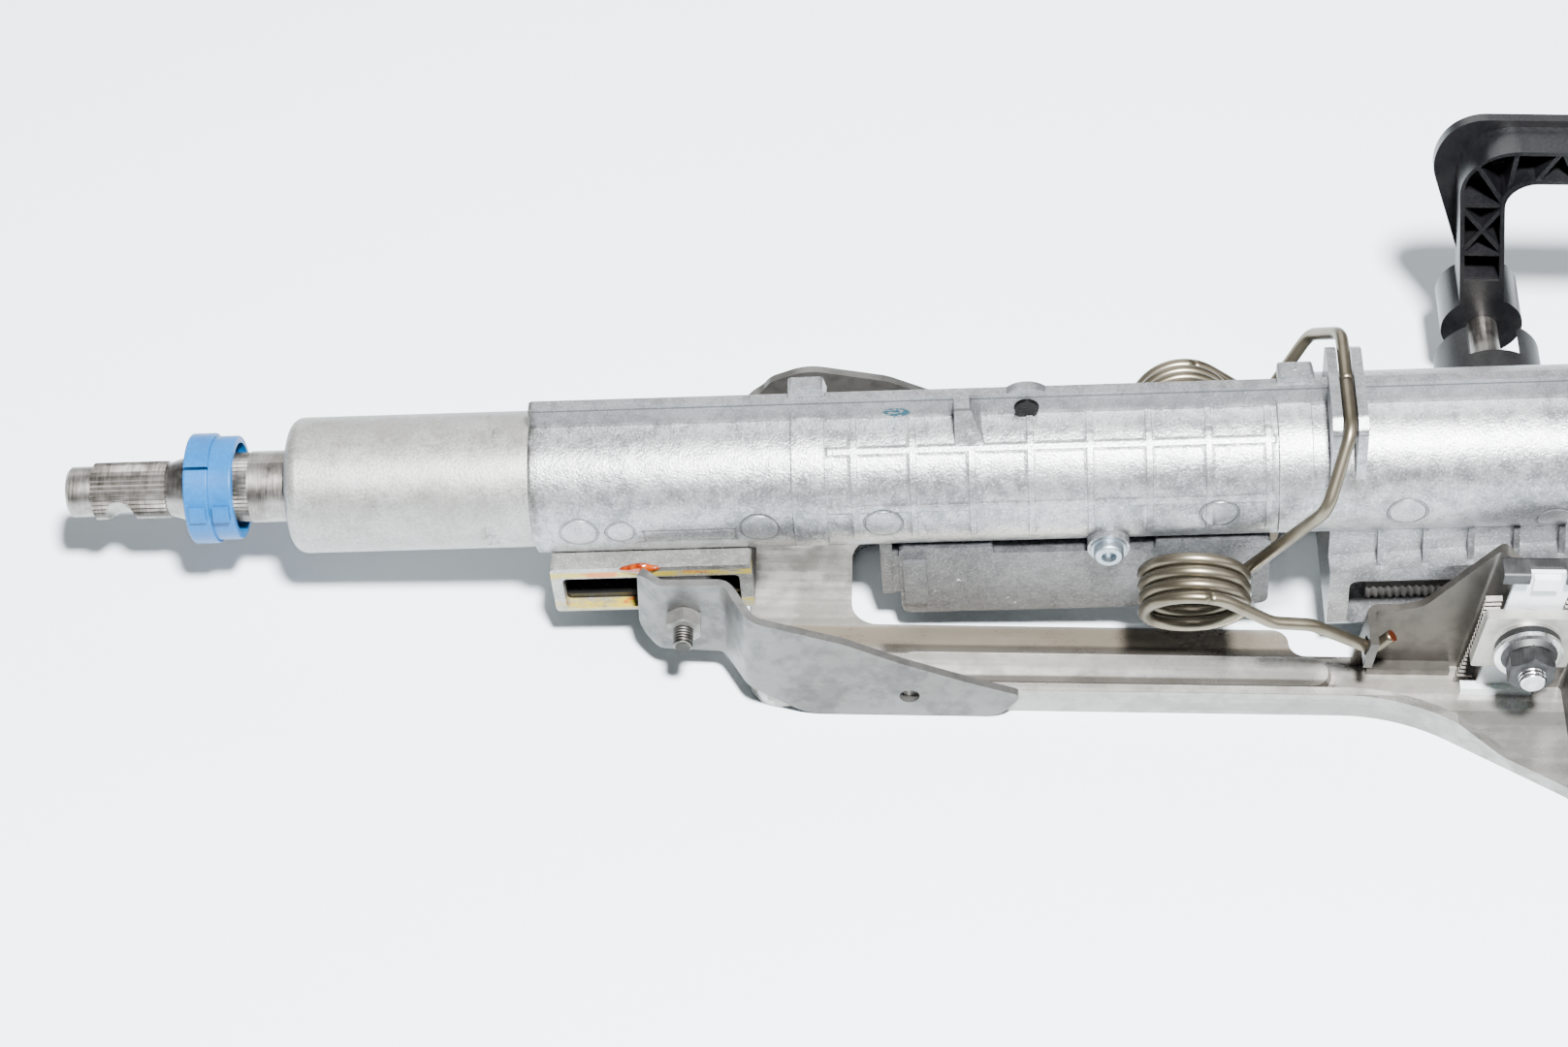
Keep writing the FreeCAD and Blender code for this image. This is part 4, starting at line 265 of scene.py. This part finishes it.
def threaded(name, dark, light, rough, pitch):
    """Steel with fine rings a pitch apart along Y, which every bolt and stud here lies along."""
    finish = Finish(name, light, 1.0, rough)
    rings, dirt = (finish.axis(1) * (math.tau / pitch)).maths("SINE"), finish.noise(300)
    # painted highlight: the rings paint the crests lighter and the roots darker
    finish.colour = (0.3 * rings + dirt).ramp(0.2, 0.9).fade(dark, light)
    finish.set(Roughness=rough - 0.15 + 0.3 * dirt)
    return finish.done(rings, THREAD_DEPTH, THREAD_BUMP)


looks["pivot_studs"] = threaded("stud", (0.035, 0.033, 0.030), (0.150, 0.145, 0.135), 0.45, STUD_PITCH)
nut = sheet_metal("nut", (0.080, 0.078, 0.073), (0.190, 0.187, 0.178), (0.140, 0.135, 0.125), 0.42)
looks["pivot_nuts"] = nut.done(nut.height, SHEET_GRAIN, SHEET_BUMP)

# Slide plates, clips, sliders and pad
# White moulded plates line the cheeks, under dark spring clips. Black moulded sliders sit on the pivot
# studs, and a soft black foam pad is stuck on the bracket.
RING_DEPTH, RING_BUMP = 0.05 * MM, 0.35
FINE_GRAIN, FOAM_GRAIN, PLASTIC_BUMP = 0.06 * MM, 0.4 * MM, 0.5


def turned_metal(name, dark, light, rough):
    """Machined or rolled steel with fine rings along X."""
    finish = Finish(name, light, 1.0, rough)
    rings, fine = finish.noise(2600, 2, 0.5, (1.0, 0.05, 0.05)), finish.noise(160)
    finish.colour = (0.7 * fine + 0.3 * rings).ramp(0.36, 0.66).fade(dark, light)
    finish.set(Roughness=rough - 0.15 + 0.15 * rings + 0.22 * fine)
    return finish.done(rings, RING_DEPTH, RING_BUMP)


def plastic(name, dark, light, rough, grain=FINE_GRAIN, **fixed):
    """Moulded plastic with a fine even grain."""
    finish = Finish(name, light, 0.0, rough, **fixed)
    fine, dust = finish.noise(900, 3), finish.noise(60, 5)
    finish.colour = (0.6 * dust + 0.4 * fine).ramp(0.35, 0.68).fade(dark, light)
    finish.set(Roughness=rough - 0.12 + 0.25 * dust)
    return finish.done(fine, grain, PLASTIC_BUMP)


looks["white_plastic"] = plastic("white_plastic", (0.66, 0.67, 0.67), (0.82, 0.83, 0.83), 0.4,
                                 Subsurface_Weight=0.15)
looks["black_plastic"] = plastic("black_plastic", (0.004, 0.004, 0.004), (0.010, 0.010, 0.011), 0.45,
                                 Specular_IOR_Level=0.3)
looks["dark_steel"] = turned_metal("dark_steel", (0.045, 0.045, 0.046), (0.085, 0.085, 0.087), 0.52)
looks["foam"] = plastic("foam", (0.02, 0.02, 0.02), (0.05, 0.05, 0.05), 0.9, FOAM_GRAIN)

# Guide channel
# The die-cast channel under the casing's front end, slotted for the pivot. Old grease, a yellow film and
# thicker orange smears, lies along both lips of its slot, and the inside of the slot is painted near black
# as painted shade.
AXIS_HEIGHT, AXIS_SLOPE = 54.5, math.radians(3.8)
CAST_METALLIC, CAST_GRAIN, CAST_BUMP = 0.75, 0.408 * MM, 0.5
SPARKLE, CHIP = (0.62, 0.63, 0.64), (0.80, 0.80, 0.80)
UPPER_LIP, LOWER_LIP = (-17.0, -16.0, -14.7, -13.7), (-32.2, -30.6, -28.1, -27.3)
HOLLOW_SIDE, HOLLOW_TOP = (22.0, 21.6), (-14.2, -14.8)
GREASE_FILM, GREASE_SMEAR, SLOT_SHADE = (0.34, 0.26, 0.004), (0.36, 0.075, 0.004), (0.003, 0.003, 0.003)


def cast_metal(name, dark, light, rough=0.36, sparkle=0.5):
    """Die-cast aluminium: pale grey with a sandy sparkle, soft clouds and small white chips."""
    finish = Finish(name, light, CAST_METALLIC, rough)
    broad, fine, sand = finish.noise(24), finish.noise(260), finish.noise(1300, 3, 0.65)
    chips = finish.noise(420, 3, 0.7).ramp(0.69, 0.74) * finish.noise(36, 2).ramp(0.52, 0.64)
    finish.colour = (0.30 * broad + 0.35 * fine + 0.35 * sand).ramp(0.38, 0.60).fade(dark, light)
    finish.paint(sparkle * sand.ramp(0.58, 0.68), SPARKLE)
    finish.paint(0.5 * sand.ramp(0.38, 0.30), dark)
    finish.paint(0.9 * chips, CHIP)
    finish.set(Roughness=rough - 0.12 + 0.16 * fine + 0.10 * broad, Metallic=CAST_METALLIC - 0.6 * chips)
    finish.height = 0.7 * sand + 0.7 * fine
    return finish


def above_axis(finish):
    """Height over the column's own axis in millimetres."""
    return (finish.axis(2) - AXIS_HEIGHT) * math.cos(AXIS_SLOPE) - finish.axis(0) * math.sin(AXIS_SLOPE)


guide = cast_metal("guide", (0.184, 0.184, 0.172), (0.316, 0.316, 0.299))
over = above_axis(guide)
lips = over.band(*UPPER_LIP) + over.band(*LOWER_LIP)
film = lips * guide.noise(120, 5, 0.7, (0.4, 1.0, 1.0)).ramp(0.36, 0.52)
smears = lips * guide.noise(90, 4, 0.6, (0.5, 1.0, 1.0)).ramp(0.56, 0.62)
# painted shade: the inside of the slot is painted near black and not metallic
shaded_slot = abs(guide.axis(1)).ramp(*HOLLOW_SIDE) * over.ramp(*HOLLOW_TOP)
guide.paint(0.9 * film, GREASE_FILM)
guide.paint(0.85 * smears, GREASE_SMEAR)
guide.paint(shaded_slot, SLOT_SHADE)
guide.set(Roughness=0.42 - 0.25 * smears, Metallic=(0.7 - 0.6 * film) * (1.0 - shaded_slot))
looks["guide_channel"] = guide.done(guide.height, CAST_GRAIN, CAST_BUMP)

# Casing
# The die-cast aluminium barrel that slides and tilts. It keeps the round marks of the mould's ejector
# pins, a bare pressed field and low ribs, and has a teal inspection stroke with drops, a brown smudge and
# white scuffs. Painted shade darkens the sunk edges of the pin marks and the field, a groove, the upright
# wall and the ear's hole, and the ribs carry a painted highlight.
EJECTOR_MARKS = (((-64.0, -22.4, 50.5), 5.6), ((-10.7, -22.4, 53.9), 5.6), ((25.7, -22.4, 56.9), 5.6),
                 ((-51.7, -22.4, 51.2), 4.3), ((123.6, -22.4, 63.5), 5.6), ((178.0, -22.4, 65.6), 5.6),
                 ((221.3, -21.5, 62.8), 5.6))
FIELD_ALONG, FIELD_ABOVE, PRESS_DEPTH = -31.4, -2.0, 3.0
FIELD_LONG_EDGE, FIELD_SHORT_EDGE = (2.0, 2.3, 2.6, 2.9), (13.0, 13.3, 13.6, 13.9)
RIB_START, RIB_HALF_PITCH, LONG_RIB_ANGLES, RIB_RISE = 17.8, 8.6, (17, 62), 1.1
RIB_RUN, RIB_ARC = (9.5, 10.5, 139.8, 140.8), (-0.25, -0.15, 1.22, 1.30)
WALL_FOOT, GROOVE_ABOVE, FRONT_END = (23.2, 24.4), 29.6, (-74.5, -77.0)
PRESS_EDGE_SHADE, PRESS_PALE, RIB_HIGHLIGHT = (0.09, 0.092, 0.095), (0.30, 0.305, 0.31), (0.34, 0.345, 0.35)
WALL_SHADE, GROOVE_SHADE, GRIME = (0.125, 0.128, 0.134), (0.05, 0.05, 0.052), (0.06, 0.057, 0.05)
TEAL, TEAL_DROP, BROWN = (0.0, 0.055, 0.085), (0.0, 0.10, 0.15), (0.09, 0.075, 0.055)
SCUFF_WHITE, HOLE_SHADE = (0.96, 0.96, 0.96), (0.004, 0.004, 0.004)
casing = cast_metal("casing", (0.145, 0.149, 0.156), (0.325, 0.330, 0.337), 0.36, 0.35)
for point, radius in EJECTOR_MARKS:
    reach = casing.near(point)
    rim = reach.band(radius - 0.6, radius - 0.2, radius + 0.15, radius + 0.55)
    # painted shade: a dark line in the sunk rim of each pin mark
    casing.paint(0.6 * rim, PRESS_EDGE_SHADE)
    casing.height = casing.height - PRESS_DEPTH * rim
    casing.paint(0.3 * reach.ramp(radius - 0.2, radius - 0.6), PRESS_PALE)
above, aside = above_axis(casing), casing.axis(1)
along = casing.axis(0) * math.cos(AXIS_SLOPE) + (casing.axis(2) - AXIS_HEIGHT) * math.sin(AXIS_SLOPE)
turn = above.maths("ARCTAN2", -1.0 * aside)
lengthwise, upright = abs(along - FIELD_ALONG), abs(above - FIELD_ABOVE)
long_edges = upright.band(*FIELD_LONG_EDGE) * lengthwise.ramp(14.2, 13.8)
short_edges = lengthwise.band(*FIELD_SHORT_EDGE) * upright.ramp(2.9, 2.6)
field_edge = (long_edges + short_edges) * aside.ramp(-15.0, -17.0)
# painted shade: dark lines along the sunk edges of the field
casing.paint(0.5 * field_edge, PRESS_EDGE_SHADE)
casing.height = casing.height - PRESS_DEPTH * field_edge
ribs = (along - RIB_START).maths("PINGPONG", RIB_HALF_PITCH).ramp(2.1, 0.5)
for degrees in LONG_RIB_ANGLES:
    ribs = ribs.maths("MAXIMUM", abs(turn - math.radians(degrees)).ramp(0.085, 0.02))
ribs = ribs * along.band(*RIB_RUN) * turn.band(*RIB_ARC)
casing.height = casing.height + RIB_RISE * ribs
# painted highlight: the raised ribs are painted a little paler
casing.paint(0.10 * ribs, RIB_HIGHLIGHT)
casing.paint(0.45 * above.ramp(*WALL_FOOT), WALL_SHADE)
# painted shade: a dark line along the groove
casing.paint(0.7 * abs(above - GROOVE_ABOVE).ramp(0.45, 0.2), GROOVE_SHADE)
casing.paint(0.8 * along.ramp(*FRONT_END) * casing.noise(110, 5, 0.7).ramp(0.40, 0.60), GRIME)
stroke = casing.near((29.0, 0.0, 81.3), (0.30, 1.0, 0.62)).ramp(1.35, 1.0)
casing.paint(0.92 * stroke * casing.noise(340, 3, 0.7, (0.5, 1.0, 1.6)).ramp(0.46, 0.50), TEAL)
drops = casing.near((27.5, 0.0, 75.0), (1.0, 0.25, 0.3)).ramp(2.2, 1.6)
casing.paint(0.7 * drops * casing.noise(900, 2).ramp(0.60, 0.64), TEAL_DROP)
smudge = casing.near((171.0, -19.0, 74.0), (0.06, 0.10, 0.10)).ramp(1.3, 0.2)
casing.paint(0.6 * smudge * casing.noise(70, 5, 0.65).ramp(0.42, 0.62), BROWN)
scuffs = casing.near((2.0, 0.0, 66.0), (0.018, 0.3, 0.11)).ramp(1.4, 0.8)
casing.paint(0.85 * scuffs * casing.noise(620, 4, 0.75, (0.7, 1.0, 1.0)).ramp(0.60, 0.64), SCUFF_WHITE)
# painted shade: a black disc stands for the shade inside the ear's hole
ear_hole_shade = casing.near((66.8, 0.6, 84.2), (1.0, 0.0, 1.0)).ramp(3.75, 3.6) * aside.band(-1.2, -1.0, 3.8, 4.0)
casing.paint(ear_hole_shade, HOLE_SHADE)
looks["column_casing"] = casing.done(casing.height, CAST_GRAIN, CAST_BUMP)

# Rack housing, lock housing and lock cover
# Smaller die-castings of the same aluminium, fixed to the casing. The lock housing is duller than the
# rest and painted darker, as painted shade under the casing, and its cover's screw is of bluish zinc-plated
# steel.
# painted shade: the lock housing is a darker copy of the casing's aluminium
lock = cast_metal("lock", (0.061, 0.063, 0.067), (0.119, 0.122, 0.127), 0.46, 0.10)
looks["lock_housing"] = lock.done(lock.height, CAST_GRAIN, CAST_BUMP)
cast = cast_metal("cast", (0.136, 0.139, 0.146), (0.254, 0.259, 0.266))
looks["cast"] = cast.done(cast.height, CAST_GRAIN, CAST_BUMP)
looks["screw_zinc"] = turned_metal("screw_zinc", (0.22, 0.26, 0.29), (0.36, 0.41, 0.45), 0.40)

# Jacket tube
# A drawn steel tube pressed into the casing's front end. Its skin is sandy with dark specks, and a ring of
# black dirt is left where it enters the casing.
TUBE_GRAIN, TUBE_BUMP, CASING_MOUTH = 0.22 * MM, 0.45, (-91.0, 0.0, 0.0)
TUBE_CLOUD, TUBE_PIT, TUBE_DIRT = (0.230, 0.225, 0.210), (0.06, 0.056, 0.05), (0.07, 0.068, 0.066)
tube = Finish("tube", (0.30, 0.30, 0.29), 0.75, 0.48)
sand, clouds, skin = tube.noise(1100, 3, 0.7), tube.noise(45, 4, 0.6), tube.noise(170)
pits = tube.noise(700, 3, 0.8, (0.5, 1.0, 1.0)).ramp(0.665, 0.71)
tube.colour = (0.6 * sand + 0.4 * skin).ramp(0.36, 0.64).fade((0.225, 0.222, 0.212), (0.345, 0.343, 0.335))
tube.paint(0.35 * clouds.ramp(0.5, 0.62), TUBE_CLOUD)
tube.paint(0.7 * pits, TUBE_PIT)
dirt_ring = tube.near(CASING_MOUTH, (1.0, 0.0, 0.0)).ramp(5.0, 1.0)
tube.paint(0.75 * dirt_ring * tube.noise(75, 5, 0.7, (2.2, 1.0, 1.0)).ramp(0.52, 0.66), TUBE_DIRT)
tube.set(Roughness=0.32 + 0.2 * skin + 0.15 * sand)
looks["jacket_tube"] = tube.done(sand, TUBE_GRAIN, TUBE_BUMP)

# Shafts, ring and bearings
# The steering shafts are rolled steel, as are the lock ring and the cams. They turn in ground steel
# bearings, and a blue moulded ring sits on the splined end.
looks["rolled"] = turned_metal("rolled", (0.144, 0.132, 0.120), (0.312, 0.300, 0.282), 0.36)
looks["bearing"] = turned_metal("bearing", (0.5, 0.5, 0.5), (0.75, 0.75, 0.75), 0.2)
looks["blue_plastic"] = plastic("blue_plastic", (0.0, 0.070, 0.22), (0.0, 0.100, 0.30), 0.42,
                                Specular_IOR_Level=0.25)

# Clamp and lever
# A plated bolt with a bright threaded tip runs through both cheeks. Closing the black moulded lever
# presses toothed steel blocks into the racks.
BOLT_PITCH, LEVER_GRAIN = 1.25, 0.1 * MM
looks["clamp_bolt"] = threaded("bolt", (0.34, 0.34, 0.34), (0.84, 0.84, 0.84), 0.25, BOLT_PITCH)
looks["bright"] = turned_metal("bright", (0.55, 0.55, 0.55), (0.82, 0.82, 0.82), 0.22)
block = sheet_metal("block_steel", (0.218, 0.210, 0.193), (0.420, 0.412, 0.386), (0.353, 0.336, 0.302), 0.5)
looks["block_steel"] = block.done(block.height, SHEET_GRAIN, SHEET_BUMP)
looks["lever_plastic"] = plastic("lever_plastic", (0.002, 0.002, 0.003), (0.008, 0.008, 0.009), 0.34,
                                 LEVER_GRAIN)

# Spring wire
# Drawn and oiled spring steel, smooth and bronze grey, with a bare coppery cut at the near hook's tip. The
# wire is dressed here, since its CAD solids need the look too, and bent further down.
HOOK_TIP = (178.0, -38.0, 28.4)
WIRE_DARK, WIRE_LIGHT, WIRE_CUT = (0.100, 0.086, 0.060), (0.165, 0.145, 0.108), (0.22, 0.05, 0.018)
wire = Finish("spring", (0.17, 0.15, 0.12), 0.9, 0.5)
oil = wire.noise(55, 3)
wire.colour = oil.ramp(0.35, 0.65).fade(WIRE_DARK, WIRE_LIGHT)
wire.paint(wire.near(HOOK_TIP).ramp(2.6, 2.0), WIRE_CUT)
wire.set(Roughness=0.30 + 0.10 * oil)
looks["spring"] = wire.done()

# CAD nodes
# Every piece made in CAD keeps its mesh, and takes the look of its own name or else of its material slot.
# No real edge is quite sharp, so each gets a small rounding.
EDGE, EDGE_STEPS, EDGE_ANGLE = 0.35 * MM, 2, math.radians(40)
slots = {part["node"]: part["material_slot"] for part in frame["record"]["subparts"]}
for name, node in nodes.items():
    node.data.materials.clear()
    node.data.materials.append(looks.get(name) or looks[slots[name]])
    soft = node.modifiers.new("soft edges", "BEVEL")
    soft.width = EDGE
    soft.segments = EDGE_STEPS
    soft.limit_method = "ANGLE"
    soft.angle_limit = EDGE_ANGLE
    soft.harden_normals = False

# Balance spring
# One wire, bent and never welded: a leg hooked in each cheek, a coil on each side, and a bow over the
# casing between two fins. It is cut in three pieces a side: the coils ride the carriage, while the hook legs
# and the bow stay where they are built.
WIRE, WIRE_SIDES, COIL_RADIUS, BEND, BEND_STEPS = 1.9, 16, 15.0, 9.0, 12
COIL_START, COIL_STEP, COIL_STEPS, COIL_INNER, COIL_LENGTH = 332.0, 6.0, 225, -9.5, 14.9
COIL_CENTRE, COIL_TILT = Vector((117.5, 36.0, 41.5)), Matrix.Rotation(math.radians(-19.0), 3, "X")
HOOK_LEG = ((177.0, 38.0, 27.8), (171.9, 38.5, 21.8), (151.5, 43.5, 39.2), (139.7, 44.5, 41.2))
BOW_LEG = ((152.0, 34.5, 80.2), (158.2, 19.0, 97.48), (158.2, 0.0, 97.48))
LONGEST_TANGENT, SPACING, SMOOTHINGS = 0.48, 1.6, 3


def rounded(corners):
    """Points along a path whose inner corners are arcs."""
    points = [corners[0]]
    for before, corner, after in zip(corners, corners[1:], corners[2:]):
        one, two = (before - corner).normalized(), (after - corner).normalized()
        shorter = min((before - corner).length, (after - corner).length)
        reach = min(BEND / math.tan(one.angle(two) / 2), shorter * LONGEST_TANGENT)
        start, end = corner + one * reach, corner + two * reach
        for i in range(BEND_STEPS + 1):
            share = i / BEND_STEPS
            points.append(start.lerp(corner, share).lerp(corner.lerp(end, share), share))
    return points + [corners[-1]]


coil = []
for i in range(COIL_STEPS + 1):
    angle, across = math.radians(COIL_START - COIL_STEP * i), COIL_INNER + COIL_LENGTH * i / COIL_STEPS
    level_coil = Vector((COIL_RADIUS * math.cos(angle), across, COIL_RADIUS * math.sin(angle)))
    coil.append(COIL_CENTRE + COIL_TILT @ level_coil)
hook_path = rounded([Vector(point) for point in HOOK_LEG] + [coil[-1]])
bow_path = rounded([coil[0]] + [Vector(point) for point in BOW_LEG])
path = hook_path[:-1] + coil[::-1] + bow_path[1:]
# The cuts lie a few degrees inside the coil.
hook_cut, bow_cut = len(hook_path) + 2, len(hook_path) + len(coil) - 4
line, starts = [], []
for one, two in zip(path, path[1:]):
    starts.append(len(line))
    steps = max(1, round((two - one).length / SPACING))
    line += [one.lerp(two, i / steps) for i in range(steps)]
starts.append(len(line))
line.append(path[-1])
for _ in range(SMOOTHINGS):
    inner = [(one + two * 2 + three) / 4 for one, two, three in zip(line, line[1:], line[2:])]
    line = [line[0]] + inner + [line[-1]]
places, out = [], Vector((0.0, 0.0, 1.0))
for before, point, after in zip([line[0]] + line, line, line[1:] + [line[-1]]):
    ahead = (after - before).normalized()
    out = (out - ahead * out.dot(ahead)).normalized()
    turned = Matrix((out, ahead.cross(out), ahead)).transposed().to_4x4()
    places.append(Matrix.Translation(point) @ turned)

lengths = (("hook", 0, hook_cut), ("coil", hook_cut, bow_cut), ("bow", bow_cut, len(path) - 1))
spring_pieces = []
for hand, label in ((-1, "near"), (1, "far")):
    for part, first, last in lengths:
        mesh = bmesh.new()
        behind = []
        for place in places[starts[first]:starts[last] + 1]:
            ring = bmesh.ops.create_circle(mesh, segments=WIRE_SIDES, radius=WIRE, matrix=place)["verts"]
            edges = list(dict.fromkeys(edge for vertex in ring for edge in vertex.link_edges))
            if behind:
                bmesh.ops.bridge_loops(mesh, edges=behind + edges)
            behind = edges
        bmesh.ops.holes_fill(mesh, edges=mesh.edges)
        bmesh.ops.scale(mesh, vec=(MM, hand * MM, MM), verts=mesh.verts)
        bmesh.ops.recalc_face_normals(mesh, faces=mesh.faces)
        data = bpy.data.meshes.new("spring_" + part + "_" + label)
        mesh.to_mesh(data)
        mesh.free()
        for polygon in data.polygons:
            polygon.use_smooth = len(polygon.vertices) == 4
        piece = bpy.data.objects.new(data.name, data)
        scene.collection.objects.link(piece)
        data.materials.append(looks["spring"])
        if part == "hook":
            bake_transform(piece)
        elif part == "bow":
            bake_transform(piece)
        else:
            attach(piece, "carriage")
        spring_pieces.append(piece)
for piece in spring_pieces:
    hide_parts("balance_spring")

# Grease
# A bead of fresh amber grease, wet and slightly lumpy, that was pressed out of the slot. It sticks to the
# guide's upper lip and goes where the column goes.
BEAD_PLACE, BEAD_HALF, BEAD_RISE, BEAD_TAPER = Vector((-46.4, -25.4, 38.6)), (6.2, 1.3, 2.0), 0.4, 0.45
mesh = bmesh.new()
bmesh.ops.create_icosphere(mesh, subdivisions=4, radius=1.0)
for vertex in mesh.verts:
    x, y, z = vertex.co
    lumps = 1.0 + 0.12 * math.sin(5.0 * x + 1.3) + 0.08 * math.sin(9.0 * x - 2.0 * z)
    lift = x * BEAD_RISE + z * BEAD_HALF[2] * lumps * (1.0 - BEAD_TAPER * abs(x))
    vertex.co = (BEAD_PLACE + Vector((x * BEAD_HALF[0], y * BEAD_HALF[1], lift))) * MM
data = bpy.data.meshes.new("grease")
mesh.to_mesh(data)
mesh.free()
for polygon in data.polygons:
    polygon.use_smooth = True
grease = bpy.data.objects.new("grease", data)
scene.collection.objects.link(grease)
amber = Finish("jelly", (0.70, 0.20, 0.02), 0.0, 0.14, Coat_Weight=0.6)
amber.colour = amber.noise(300, 4, 0.6).ramp(0.35, 0.65).fade((0.10, 0.008, 0.0), (0.25, 0.040, 0.001))
data.materials.append(amber.done())
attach(grease, "column")

# Floor
# The pale table that the part stands on, a hair under its lowest face.
FLOOR_SIZE, FLOOR_HEIGHT = 12, -0.0002
bpy.ops.mesh.primitive_plane_add(size=FLOOR_SIZE, location=(0, 0, FLOOR_HEIGHT))
floor = bpy.context.object
floor.name = "floor"
floor.data.materials.append(Finish("floor", (0.735, 0.80, 0.84), 0.0, 0.75, Specular_IOR_Level=0.2).material)
